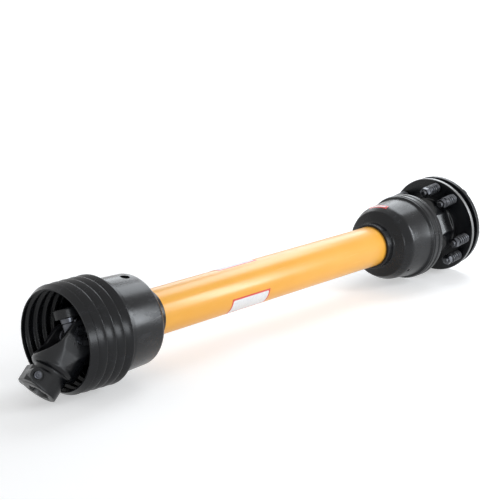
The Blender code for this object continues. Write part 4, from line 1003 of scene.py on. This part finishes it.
def block_mesh():
    """The block for the push pin, from the hub's axis to its top."""
    top = PIN_OFFSET + PIN_BLOCK_WALL
    wide, deep = PIN_BLOCK_HALF_WIDTH, PIN_BLOCK_HALF_WIDTH * 0.5
    side = top - deep * 0.55
    outline = [(-wide, 0), (-wide, side), (-deep, top), (deep, top), (wide, side), (wide, 0)]
    turn = Matrix(((0, 0, 1, PIN_POSITION), (1, 0, 0, 0), (0, 1, 0, 0), (0, 0, 0, 1)))
    return prism(outline, PIN_BLOCK_LENGTH / 2, turn)


def tractor_yoke_mesh():
    root = CROTCH_DEPTH + FORK_SHOULDER
    barrel = revolved(rod_profile(root, TRACTOR_HUB_END, TRACTOR_HUB_RADIUS), MEDIUM_STEPS)
    pin_place = (PIN_POSITION, 0, PIN_OFFSET)
    boss_face = PIN_BLOCK_HALF_WIDTH + PIN_BOSS_HEIGHT
    boss = turned_across(rounded(rod_profile(0, boss_face, PIN_BOSS_RADIUS), PIN_EDGE), MEDIUM_STEPS, TO_Y,
                         pin_place)
    body = forged(boolean(fork_mesh(FORK_BASE_RADIUS, FORK_ARM_FOOT), "UNION", barrel, block_mesh()))
    recess, bore, end = PIN_BOSS_RADIUS - PIN_BOSS_RIM, PIN_RADIUS + FIT, boss_face + CUT_MARGIN
    profile = [(PIN_BORE_START, 0), (PIN_BORE_START, bore), (PIN_BLOCK_HALF_WIDTH, bore),
               (PIN_BLOCK_HALF_WIDTH, recess), (end, recess), (end, 0)]
    pin_bore = turned_across(profile, SMALL_STEPS, TO_Y, pin_place)
    return boolean(boolean(body, "UNION", boss), "DIFFERENCE", cup_bores(),
                   splined_cutter(0, TRACTOR_HUB_END + CUT_MARGIN), pin_bore)


def in_splines(centre):
    """Whether a face's centre lies in the splined bore."""
    return centre.x > CROTCH_DEPTH and math.hypot(centre.y, centre.z) < SPLINE_MAJOR_RADIUS + FIT


add_piece("tractor_fork", tractor_yoke_mesh(), TRACTOR_YOKE, "tractor_yoke", "black_paint", ["tractor_yoke"],
          bare=in_splines)

# %% [markdown]
# The push pin locks in the groove of the tractor's shaft, and its narrow waist frees it when the
# button is pressed. The button's face has turned rings.

# %% Push pin
PIN_TRAVEL = 0.010
PIN_WAIST_RADIUS = 0.0030
PIN_WAIST_SLOPE = 0.002
BUTTON_STANDS_OUT = 0.0022
BUTTON_GROOVE = 0.0004


def release_pin_mesh():
    button = PIN_BLOCK_HALF_WIDTH + PIN_BOSS_HEIGHT + BUTTON_STANDS_OUT
    groove = button - BUTTON_GROOVE
    waist_start, waist_end = PIN_TRAVEL * 0.6, button - PIN_TRAVEL
    profile = [(-waist_start, 0), (-waist_start, PIN_RADIUS), (waist_start, PIN_RADIUS),
               (waist_start + PIN_WAIST_SLOPE, PIN_WAIST_RADIUS),
               (waist_end - PIN_WAIST_SLOPE, PIN_WAIST_RADIUS), (waist_end, PIN_RADIUS),
               (button, PIN_RADIUS), (button, 0.0036), (groove, 0.0033), (groove, 0.0014),
               (button, 0.0011), (button, 0)]
    return turned_across(rounded(profile, PIN_EDGE), SMALL_STEPS, TO_Y, (PIN_POSITION, 0, PIN_OFFSET))


add_piece("push_pin", release_pin_mesh(), TRACTOR_YOKE, "release_pin", "bright_steel", ["release_pin"])

# %% [markdown]
# Inboard of each joint sits a yoke whose hub holds a profile tube and carries the bearing ring.
# Its ears lie on Z in the joint's frame, so the fork is turned a quarter round X.

# %% Inner yokes
INNER_HUB_RADIUS = 0.031
RING_GROOVE_DEPTH = 0.002
RING_END_COLLAR = 0.003
RING_WIDTH = 0.0092
HUB_FLOOR = 0.006
HUB_EDGE = 0.0004
QUARTER_TURN = Matrix.Rotation(math.pi / 2, 4, "X")


def inner_yoke_mesh(hub_end, tube_radius):
    root = CROTCH_DEPTH + FORK_SHOULDER
    groove_end = hub_end - RING_END_COLLAR
    groove_start = groove_end - RING_WIDTH - 2 * FIT
    groove = INNER_HUB_RADIUS - RING_GROOVE_DEPTH
    hub = revolved(rounded([(root, 0), (root, INNER_HUB_RADIUS), (groove_start, INNER_HUB_RADIUS),
                            (groove_start, groove), (groove_end, groove), (groove_end, INNER_HUB_RADIUS),
                            (hub_end, INNER_HUB_RADIUS), (hub_end, tube_radius),
                            (root + HUB_FLOOR, tube_radius), (root + HUB_FLOOR, 0)], HUB_EDGE),
                   MEDIUM_STEPS)
    body = boolean(forged(fork_mesh(FORK_BASE_RADIUS, FORK_ARM_FOOT)), "UNION", hub)
    return boolean(body, "DIFFERENCE", cup_bores())


for name, node, place, body, hub_end, tube_radius in (
        ("outer_shaft_fork", "outer_shaft_yoke", TRACTOR_SHAFT, "outer_shaft", 0.125, 0.0276),
        ("inner_shaft_fork", "inner_shaft_yoke", CLUTCH_SHAFT, "inner_shaft", 0.1115, 0.0236)):
    add_piece(name, inner_yoke_mesh(hub_end, tube_radius), place @ QUARTER_TURN, body, "black_paint", [node])

# %% [markdown]
# A cross has four ground trunnions on a forged body, and a grease nipple on a small boss.

# %% Crosses and grease nipples
TRUNNION_RADIUS = 0.0090
CROSS_SHOULDER_RADIUS = 0.0125
CUP_FLOOR = 0.0028
NIPPLE_RADIUS = 0.0032
NIPPLE_LENGTH = 0.0110
NIPPLE_BOSS_RADIUS = 0.0045
NIPPLE_SEAT = CROSS_SHOULDER_RADIUS * math.sqrt(2) + NIPPLE_RADIUS
CROSS_VOXEL = 0.0007
CROSS_ROUNDS = 4
TRUNNION_EDGE = 0.0012
NIPPLE_TURN = Matrix.Rotation(math.pi / 4, 4, "X") @ TO_Z


def cross_mesh():
    shoulder = CUP_INNER_END - FIT
    end = CUP_OUTER_END - CUP_FLOOR - FIT
    cores, trunnions = [[turned_across(profile, SMALL_STEPS, turn) for turn in (TO_Y, TO_Z)] for profile in (
        rod_profile(-shoulder, shoulder, CROSS_SHOULDER_RADIUS),
        rounded(rod_profile(-end, end, TRUNNION_RADIUS), TRUNNION_EDGE))]
    boss = turned_across(rod_profile(0, NIPPLE_SEAT, NIPPLE_BOSS_RADIUS), SMALL_STEPS, NIPPLE_TURN)
    body = boolean(cores[0], "UNION", cores[1], boss)
    return boolean(forged(body, CROSS_ROUNDS, CROSS_VOXEL), "UNION", *trunnions)


def nipple_mesh():
    """A grease nipple: a collar, a neck and a ball head with its hole."""
    shares = [(0, 0), (0, 1), (0.36, 1), (0.40, 0.72), (0.58, 0.58), (0.70, 0.55), (0.76, 0.80),
              (0.88, 0.84), (0.97, 0.55), (1, 0.30), (0.93, 0.20), (0.93, 0)]
    points = [(NIPPLE_SEAT + FIT + along * NIPPLE_LENGTH, radius * NIPPLE_RADIUS) for along, radius in shares]
    return turned_across(rounded(points, 0.0003, 2), BOLT_STEPS, NIPPLE_TURN)


for name, place in (("tractor_cross", TRACTOR_CROSS), ("clutch_cross", CLUTCH_CROSS)):
    add_piece(f"{name}_body", cross_mesh(), place, name, "bright_steel", [name])
    add_piece(f"{name}_grease_nipple", nipple_mesh(), place, name, "bright_steel", [f"{name}_nipple"])

# %% [markdown]
# Each cup is a deep-drawn cap whose end shows in the ear. A spring circlip holds it in,
# open at one side, with two small lugs for the pliers.

# %% Bearing cups and circlips
CIRCLIP_THICKNESS = 0.0015
CIRCLIP_WIDTH = 0.0026
CIRCLIP_HALF_GAP = 16
CIRCLIP_LUG = 0.0022
CIRCLIP_LUG_TURN = 14
CUP_DIMPLE_RADIUS = 0.0062
CUP_DIMPLE_DEPTH = 0.0006
CUP_EDGE = 0.0009


def cup_and_clip():
    """A cup with its circlip, on the +Y side of the joint."""
    bore = TRUNNION_RADIUS + FIT
    floor, dimple = CUP_OUTER_END - CUP_FLOOR, CUP_OUTER_END - CUP_DIMPLE_DEPTH
    cup = rounded([(CUP_INNER_END, bore), (CUP_INNER_END, CUP_RADIUS), (CUP_OUTER_END, CUP_RADIUS),
                   (CUP_OUTER_END, CUP_DIMPLE_RADIUS), (dimple, CUP_DIMPLE_RADIUS - 0.0004), (dimple, 0),
                   (floor, 0), (floor, bore)], CUP_EDGE)
    inner = CIRCLIP_RADIUS - CIRCLIP_WIDTH
    start, end = CIRCLIP_HALF_GAP, 360 - CIRCLIP_HALF_GAP
    lug, beside = CIRCLIP_LUG_TURN, CIRCLIP_LUG_TURN + 2
    ring = arc((0, 0), CIRCLIP_RADIUS, start, end, 40)
    ring += arc((0, 0), inner - CIRCLIP_LUG, end, end - lug, 4)
    ring += arc((0, 0), inner, end - beside, start + beside, 36)
    ring += arc((0, 0), inner - CIRCLIP_LUG, start + lug, start, 4)
    clip = prism(ring, CIRCLIP_THICKNESS / 2, Matrix.Rotation(math.pi / 2, 4, "X"))
    clip.transform(Matrix.Translation((0, CUP_OUTER_END + FIT + CIRCLIP_THICKNESS / 2, 0)))
    return turned_across(cup, SMALL_STEPS, TO_Y), clip


def joined(meshes):
    """One mesh from several."""
    shape = bmesh.new()
    for mesh in meshes:
        shape.from_mesh(mesh)
    return mesh_of(shape, "joined", turn_out=False)


HALF_TURN = Matrix.Rotation(math.pi, 4, "Z")
for group, place, body in (("tractor_yoke", TRACTOR_YOKE, "tractor_yoke"),
                           ("flange_yoke", CLUTCH_YOKE, "clutch_yoke"),
                           ("outer_shaft", TRACTOR_SHAFT @ QUARTER_TURN, "outer_shaft"),
                           ("inner_shaft", CLUTCH_SHAFT @ QUARTER_TURN, "inner_shaft")):
    both = []
    for turn in (Matrix.Identity(4), HALF_TURN):
        for mesh in cup_and_clip():
            mesh.transform(turn)
            both.append(mesh)
    add_piece(f"{group}_cups", joined(both), place, body, "bright_steel",
              [f"{group}_cup_a", f"{group}_cup_b"])

# %% [markdown]
# The friction clutch is a sandwich: a flange plate, a lining, the hub's drive plate, a second
# lining and a pressure plate. The plates are turned with broken edges and eight bolt holes.

# %% Clutch sizes
PLATE_RADIUS = 0.0875
FLANGE_FRONT = 0.060
FLANGE_THICKNESS = 0.006
FLANGE_BOSS_RADIUS = 0.053
FLANGE_BOSS_HEIGHT = 0.008
FLANGE_ARM_FOOT = 0.0485
LINING_THICKNESS = 0.003
LINING_RADIUS = 0.0685
LINING_INNER_RADIUS = 0.046
DRIVE_PLATE_THICKNESS = 0.006
PRESSURE_PLATE_THICKNESS = 0.008
PRESSURE_PLATE_RADIUS = 0.086
CLUTCH_HUB_RADIUS = 0.029
CLUTCH_HUB_STANDS_OUT = 0.023
BUSH_WALL = 0.0032
BOLT_PAIRS = 4
BOLT_PAIR_TURN = math.radians(45)
BOLT_PAIR_SPREAD = math.radians(30)
BOLT_PITCH_RADIUS = 0.0745
BOLT_RADIUS = 0.005
HEAD_RADIUS = 0.0092
HEAD_HEIGHT = 0.0062
FLANGE_BACK = FLANGE_FRONT + FLANGE_THICKNESS
FRONT_LINING = FLANGE_BACK + FIT
DRIVE_PLATE = FRONT_LINING + LINING_THICKNESS + FIT
REAR_LINING = DRIVE_PLATE + DRIVE_PLATE_THICKNESS + FIT
PRESSURE_PLATE = REAR_LINING + LINING_THICKNESS + FIT
CLUTCH_BACK = PRESSURE_PLATE + PRESSURE_PLATE_THICKNESS
CLUTCH_HUB_END = CLUTCH_BACK + CLUTCH_HUB_STANDS_OUT
print("The clutch is", round((CLUTCH_BACK - FLANGE_FRONT) * 1000, 1), "mm thick over its plates")

# %% [markdown]
# Bolts, nuts, springs and their holes all repeat on the same eight places, in four pairs between
# the arms of the yoke. One recipe sets any mesh on those places, so they can never disagree.
# It makes the points in a line, then bends the line: each point's number gives its pair and side.

# %% Recipe: one mesh on the eight bolt places
def bolt_circle_recipe():
    recipe = Recipe("bolt circle")
    pairs = recipe.count("Pairs")
    radius, first, spread = recipe.sizes("Pitch Radius", "First Turn", "Spread")
    line = recipe.node("GeometryNodeMeshLine", inputs={"Count": pairs * 2.0})
    index = recipe.node("GeometryNodeInputIndex")
    side = index % 2.0
    pair = (index - side) / 2.0
    turn = first + pair * (2 * math.pi) / pairs + (side - 0.5) * spread
    points = recipe.moved(line, recipe.round_axis(0.0, radius, turn))
    return recipe.end(recipe.node("GeometryNodeInstanceOnPoints", inputs={
        "Points": points, "Instance": recipe.base, "Rotation": recipe.vector(turn)}))


BOLT_CIRCLE = bolt_circle_recipe()


def on_bolt_places(mesh, slot):
    """One mesh with the given one on each of the eight bolt places."""
    return BOLT_CIRCLE.mesh(mesh, finish=FINISHES[slot], pairs=BOLT_PAIRS, pitch_radius=BOLT_PITCH_RADIUS,
                            first_turn=BOLT_PAIR_TURN, spread=BOLT_PAIR_SPREAD)


def bolt_holes(start, end):
    """The cutters for the eight holes of a plate."""
    rod = revolved(rod_profile(start - CUT_MARGIN, end + CUT_MARGIN, BOLT_RADIUS + FIT), BOLT_STEPS)
    return on_bolt_places(rod, "black_paint")


def numbered(kind):
    return [f"clutch_{kind}_{number}" for number in range(1, 2 * BOLT_PAIRS + 1)]


# %% [markdown]
# The flange yoke is a fork on a round boss, forged in one with its plate. The fork and the boss
# are smoothed as a forging, and the turned plate keeps its crisp rim.

# %% Flange yoke
FLANGE_CENTRE_HOLE_RADIUS = 0.020
BOSS_IN_PLATE = 0.003
BOSS_EDGE = 0.002
FLANGE_EDGE = 0.0009


def flange_yoke_mesh():
    boss_front = FLANGE_FRONT - FLANGE_BOSS_HEIGHT
    profile = rod_profile(boss_front, FLANGE_FRONT + BOSS_IN_PLATE, FLANGE_BOSS_RADIUS)
    boss = revolved(rounded(profile, BOSS_EDGE), MEDIUM_STEPS)
    fork = fork_mesh(FLANGE_BOSS_RADIUS - FORK_SHOULDER / 2, FLANGE_ARM_FOOT)
    body = forged(boolean(fork, "UNION", boss))
    profile = rod_profile(FLANGE_FRONT, FLANGE_BACK, PLATE_RADIUS)
    plate = revolved(rounded(profile, FLANGE_EDGE), FINE_STEPS)
    centre = revolved(rod_profile(0, FLANGE_BACK + CUT_MARGIN, FLANGE_CENTRE_HOLE_RADIUS), MEDIUM_STEPS)
    return boolean(boolean(body, "UNION", plate), "DIFFERENCE", cup_bores(), centre,
                   bolt_holes(FLANGE_FRONT, FLANGE_BACK))


def on_plate_edge(centre):
    """Whether a face's centre lies on the turned edge of the flange plate."""
    return math.hypot(centre.y, centre.z) > PLATE_RADIUS - FLANGE_THICKNESS / 4


add_piece("flange_fork", flange_yoke_mesh(), CLUTCH_YOKE, "clutch_yoke", "black_paint", ["flange_yoke"],
          bare=on_plate_edge)

# %% [markdown]
# Behind the flange lie the plates. A nylon bush keeps the pressure plate on the hub,
# and the hub's splined bore is gripped by a clamp bolt across it.

# %% Pressure plate, bush, linings and hub
CLAMP_RADIUS = 0.005
CLAMP_GRIP = 0.024
PLATE_EDGE = 0.0012
BUSH_EDGE = 0.0005
LINING_EDGE = 0.0003
CLAMP_PLACE = ((CLUTCH_BACK + CLUTCH_HUB_END) / 2, 0, 0.0205)
BUSH_RADIUS = CLUTCH_HUB_RADIUS + FIT + BUSH_WALL


def pressure_plate_mesh():
    profile = tube_profile(PRESSURE_PLATE, CLUTCH_BACK, PRESSURE_PLATE_RADIUS, BUSH_RADIUS + FIT)
    plate = revolved(rounded(profile, PLATE_EDGE), FINE_STEPS)
    return boolean(plate, "DIFFERENCE", bolt_holes(PRESSURE_PLATE, CLUTCH_BACK))


def clutch_hub_mesh():
    plate_end = DRIVE_PLATE + DRIVE_PLATE_THICKNESS
    profile = rounded([(FRONT_LINING, 0), (FRONT_LINING, CLUTCH_HUB_RADIUS), (DRIVE_PLATE, CLUTCH_HUB_RADIUS),
                       (DRIVE_PLATE, LINING_RADIUS), (plate_end, LINING_RADIUS),
                       (plate_end, CLUTCH_HUB_RADIUS), (CLUTCH_HUB_END, CLUTCH_HUB_RADIUS),
                       (CLUTCH_HUB_END, 0)], PLATE_EDGE)
    half, end = CLAMP_GRIP / 2, CLUTCH_HUB_RADIUS + CUT_MARGIN
    seat, shank = HEAD_RADIUS + 2 * FIT, CLAMP_RADIUS + FIT
    clamp = turned_across([(-end, 0), (-end, seat), (-half, seat), (-half, shank), (half, shank),
                           (half, seat), (end, seat), (end, 0)], SMALL_STEPS, TO_Y, CLAMP_PLACE)
    spline = splined_cutter(FRONT_LINING - CUT_MARGIN, CLUTCH_HUB_END + CUT_MARGIN)
    return boolean(revolved(profile, MEDIUM_STEPS), "DIFFERENCE", spline, clamp)


add_piece("pressure_disc", pressure_plate_mesh(), CLUTCH_YOKE, "clutch_yoke", "black_paint",
          ["pressure_plate"])
bush_profile = tube_profile(PRESSURE_PLATE, CLUTCH_BACK, BUSH_RADIUS, CLUTCH_HUB_RADIUS + FIT)
add_piece("hub_bush", revolved(rounded(bush_profile, BUSH_EDGE), MEDIUM_STEPS), CLUTCH_YOKE, "clutch_yoke",
          "white_nylon", ["clutch_bush"])
for side, start in (("front", FRONT_LINING), ("rear", REAR_LINING)):
    profile = tube_profile(start, start + LINING_THICKNESS, LINING_RADIUS, LINING_INNER_RADIUS)
    lining = revolved(rounded(profile, LINING_EDGE, 2), FINE_STEPS)
    add_piece(f"{side}_lining", lining, CLUTCH_YOKE, "clutch_hub", "brown_lining",
              [f"friction_lining_{side}"])
add_piece("splined_hub", clutch_hub_mesh(), CLUTCH_YOKE, "clutch_hub", "black_paint", ["clutch_hub"],
          bare=in_splines)

# %% [markdown]
# A hexagon head has rounded corners at its face, because it is turned to a cone before use.
# That shape is where a hexagonal prism and a turned form meet. A nut is the same with a bore.

# %% Hexagons
def hexagon(start, end, bore=0.0, both=False):
    """A hexagon head along X, chamfered at its far end or at both ends, with a bore if it's a nut."""
    corner = HEAD_RADIUS
    flat = corner * math.cos(math.pi / 6)
    chamfer = (corner - flat) * 0.62
    front = flat if both else corner * 1.02
    turns = [math.pi * side / 3 for side in range(6)]
    body = prism_between([(corner * math.cos(t), corner * math.sin(t)) for t in turns], start, end)
    form = [(start, bore), (start, front * 0.99), (start + (chamfer if both else 0.0001), corner * 1.02),
            (end - chamfer, corner * 1.02), (end, flat * 0.99), (end, bore)]
    return boolean(body, "INTERSECT", revolved(form, SMALL_STEPS))


print("A head is", round(2 * HEAD_RADIUS * math.cos(math.pi / 6) * 1000, 1), "mm across its flats")

# %% [markdown]
# Each clutch bolt has its head behind the pressure plate and its nut in front of its spring.
# The thread is turned as close rings, since its helix is too fine to tell apart from them.
# The hub's clamp bolt is one piece with its nut.

# %% Bolts and nuts
SPRING_LENGTH = 0.0325
NUT_HEIGHT = 0.0085
BOLT_END_BEYOND_NUT = 0.004
SPRING_FRONT = FLANGE_FRONT - FIT - SPRING_LENGTH
NUT_FRONT = SPRING_FRONT - FIT - NUT_HEIGHT
BOLT_FRONT = NUT_FRONT - BOLT_END_BEYOND_NUT
THREAD_END = SPRING_FRONT + 0.010
THREAD_PITCH = 0.0015
THREAD_DEPTH = 0.0008
THREAD_RUNOUT = 0.001
SHANK_IN_HEAD = 0.002
CLAMP_BEYOND_NUT = 0.003
CLAMP_STEPS = 32


def thread_profile(start, end, radius):
    """The profile of a threaded length, as close rings of the thread's pitch."""
    points = []
    for ring in range(int((end - start) / THREAD_PITCH)):
        here = start + ring * THREAD_PITCH
        points += [(here, radius - THREAD_DEPTH), (here + THREAD_PITCH * 0.5, radius)]
    return points + [(end, radius - THREAD_DEPTH)]


def bolt_mesh():
    head_start = CLUTCH_BACK + FIT
    shank_end = head_start + SHANK_IN_HEAD
    profile = [(BOLT_FRONT, 0)] + thread_profile(BOLT_FRONT, THREAD_END, BOLT_RADIUS)
    profile += [(THREAD_END + THREAD_RUNOUT, BOLT_RADIUS), (shank_end, BOLT_RADIUS), (shank_end, 0)]
    return joined([revolved(profile, BOLT_STEPS), hexagon(head_start, head_start + HEAD_HEIGHT)])


add_piece("clutch_bolts", on_bolt_places(bolt_mesh(), "dark_steel"), CLUTCH_YOKE, "clutch_yoke", "dark_steel",
          numbered("bolt"))
nut = hexagon(NUT_FRONT, NUT_FRONT + NUT_HEIGHT, BOLT_RADIUS + FIT / 3, both=True)
add_piece("clutch_nuts", on_bolt_places(nut, "bright_steel"), CLUTCH_YOKE, "clutch_yoke", "bright_steel",
          numbered("nut"))
clamp_half = CLAMP_GRIP / 2 + FIT
clamp_rod = rod_profile(-clamp_half - CLAMP_BEYOND_NUT, clamp_half + HEAD_HEIGHT + CLAMP_BEYOND_NUT,
                        CLAMP_RADIUS)
clamp_bolt = joined([revolved(clamp_rod, CLAMP_STEPS),
                     hexagon(clamp_half, clamp_half + HEAD_HEIGHT, both=True),
                     hexagon(-clamp_half - HEAD_HEIGHT, -clamp_half)])
clamp_bolt.transform(Matrix.Translation(CLAMP_PLACE) @ TO_Y)
add_piece("clamp_bolt", clamp_bolt, CLUTCH_YOKE, "clutch_hub", "bright_steel", ["hub_clamp_bolt"])

# %% [markdown]
# The eight springs press the plates together. A compression spring's end turns lie closed up and
# its middle turns are spread, so a plain helix is wrong. The recipe bends a line into the helix:
# the height along it grows slowly in the first and last turn, and quickly between them.

# %% Springs
SPRING_RADIUS = 0.0094
WIRE_RADIUS = 0.0018
ACTIVE_TURNS = 3.4
CLOSED_PITCH = 0.0040
POINTS_PER_TURN = 28
WIRE_STEPS = 12


def spring_recipe():
    recipe = Recipe("compression spring")
    radius, wire, length = recipe.sizes("Radius", "Wire Radius", "Length")
    active, closed_pitch, points_per_turn = recipe.sizes("Active Turns", "Closed Pitch", "Points Per Turn")
    line = recipe.node("GeometryNodeMeshLine", inputs={"Count": (active + 2.0) * points_per_turn + 1.0})
    turn = recipe.node("GeometryNodeInputIndex") / points_per_turn
    closed = recipe.maths("MINIMUM", turn, 1.0) + recipe.maths("MAXIMUM", turn - 1.0 - active, 0.0)
    spread = recipe.maths("MINIMUM", recipe.maths("MAXIMUM", turn - 1.0, 0.0), active)
    active_pitch = (length - wire * 2.0 - closed_pitch * 2.0) / active
    along = wire + closed * closed_pitch + spread * active_pitch
    coil = recipe.moved(line, recipe.round_axis(along, radius - wire, turn * (2 * math.pi)))
    curve = recipe.node("GeometryNodeMeshToCurve", inputs={"Mesh": coil})
    section = recipe.node("GeometryNodeCurvePrimitiveCircle",
                          inputs={"Resolution": WIRE_STEPS, "Radius": wire})
    return recipe.end(recipe.node("GeometryNodeCurveToMesh", inputs={
        "Curve": curve, "Profile Curve": section, "Fill Caps": True}))


spring = spring_recipe().mesh(finish=FINISHES["dark_steel"], radius=SPRING_RADIUS, wire_radius=WIRE_RADIUS,
                              length=SPRING_LENGTH, active_turns=ACTIVE_TURNS, closed_pitch=CLOSED_PITCH,
                              points_per_turn=float(POINTS_PER_TURN))
spring.transform(Matrix.Translation((SPRING_FRONT, 0, 0)))
add_piece("clutch_springs", on_bolt_places(spring, "dark_steel"), CLUTCH_YOKE, "clutch_yoke", "dark_steel",
          numbered("spring"))

# %% [markdown]
# The studio is a white paper floor under a white sky. Both glow in full for the camera and for mirrors
# alone, so they look white but give little soft light. The floor glows more away from the middle, where
# the lamps reach it less, so it stays white all over and still darkens where the shaft rests on it.

# %% Floor and world
FLOOR_SIZE = 40.0
FLOOR_SHADE = 0.80
FLOOR_GLOW_NEAR = 0.42
FLOOR_GLOW_FAR = 0.78
GLOW_STARTS = 0.7
GLOW_FULL = 4.0
WORLD_STRENGTH = 0.40


def seen_directly(graph):
    """1 for the camera and for what mirrors and glass show, and 0 for diffuse light."""
    camera_ray, glossy_ray, glass_ray = [graph.node("ShaderNodeLightPath", output=f"Is {ray} Ray")
                                         for ray in ("Camera", "Glossy", "Transmission")]
    return camera_ray + glossy_ray + glass_ray


def floor_finish():
    finish = Finish("studio_floor")
    distance = finish.node("ShaderNodeVectorMath", {"operation": "LENGTH"}, {0: finish.place}, "Value")
    away = finish.step(distance, GLOW_STARTS, GLOW_FULL)
    glow = (FLOOR_GLOW_NEAR + away * (FLOOR_GLOW_FAR - FLOOR_GLOW_NEAR)) * seen_directly(finish)
    return finish.set(
        base_color=colour(FLOOR_SHADE, FLOOR_SHADE, FLOOR_SHADE),
        roughness=0.9,
        specular_ior_level=0.1,
        emission_color=finish.mix(glow, colour(0, 0, 0), colour(1, 1, 1)),
        emission_strength=1.0)


shape = bmesh.new()
bmesh.ops.create_grid(shape, x_segments=8, y_segments=8, size=FLOOR_SIZE / 2)
floor_mesh = mesh_of(shape, "floor", turn_out=False)
floor_mesh.materials.append(floor_finish())
floor = bpy.data.objects.new("studio_floor", floor_mesh)
SCENE.objects.link(floor)


def light_world():
    world = bpy.data.worlds.new("studio")
    world.use_nodes = True
    graph = Graph(world.node_tree)
    background = world.node_tree.nodes["Background"]
    background.inputs["Color"].default_value = colour(1, 1, 1)
    strength = WORLD_STRENGTH + seen_directly(graph) * (1.0 - WORLD_STRENGTH)
    world.node_tree.links.new(strength.socket, background.inputs["Strength"])
    bpy.context.scene.world = world


light_world()
print("The floor is", FLOOR_SIZE, "m wide, and the sky lights the object at a strength of", WORLD_STRENGTH)

# %% [markdown]
# Four soft lamps follow the highlights in the photograph. A tall one at the right draws the highlight
# on the guard's side, and the ones overhead and behind lay the pale band along its top. A low one
# beside the camera shines into the bellows and draws the streaks on its inner ribs.

# %% Lamps
SUBJECT = Vector((-0.15, 0, 0.08))
LAMP_COLOUR = (0.90, 0.95, 1.0)


def soft_lamp(name, direction, distance, width, height, power):
    """A rectangular area lamp that faces the subject from a direction."""
    lamp = bpy.data.lights.new(name, "AREA")
    lamp.shape, lamp.size, lamp.size_y, lamp.energy = "RECTANGLE", width, height, power
    lamp.color = LAMP_COLOUR
    obj = bpy.data.objects.new(name, lamp)
    towards = Vector(direction).normalized()
    obj.location = SUBJECT + towards * distance
    obj.rotation_euler = towards.to_track_quat("Z", "Y").to_euler()
    SCENE.objects.link(obj)
    print(f"{name}: {power} W from", [round(value, 2) for value in obj.location])


soft_lamp("tall_right", (0.66, -0.70, 0.30), 2.3, 0.32, 1.15, 25)
soft_lamp("overhead", (0.66, 0.12, 0.72), 2.2, 1.0, 1.0, 15)
soft_lamp("behind", (0.74, 0.48, 0.40), 2.6, 1.6, 0.9, 13)
soft_lamp("low_front", (-0.55, -0.82, 0.13), 2.6, 1.4, 0.6, 20)

# %% [markdown]
# The camera stands where the photograph was taken from. Its place and its axes were solved from the
# circles of the guard and the length of the tube, and are given from the first ridge of the bellows.

# %% Camera
CAMERA_FROM_RIDGE = Vector((-1.1155, -1.3230, 0.5560))
CAMERA_FORWARD = Vector((0.729, 0.640, -0.243))
CAMERA_RIGHT = Vector((0.659, -0.752, 0.0))
PIXELS_PER_UNIT = 1318.1
IMAGE_SIZE = 500
SENSOR = 36.0

camera_data = bpy.data.cameras.new("camera")
camera_data.sensor_width = SENSOR
camera_data.lens = SENSOR * PIXELS_PER_UNIT / IMAGE_SIZE
camera_data.clip_end = 100
camera = bpy.data.objects.new("camera", camera_data)
backward = -CAMERA_FORWARD.normalized()
right = (CAMERA_RIGHT - backward * CAMERA_RIGHT.dot(backward)).normalized()
turn = Matrix((right, backward.cross(right), backward)).transposed()
camera.matrix_world = Matrix.Translation(START + CAMERA_FROM_RIDGE) @ turn.to_4x4()
SCENE.objects.link(camera)
bpy.context.scene.camera = camera
bpy.context.scene.view_settings.view_transform = "Standard"
print(f"The lens is {camera_data.lens:.1f} mm, on a sensor {SENSOR:.0f} mm wide")
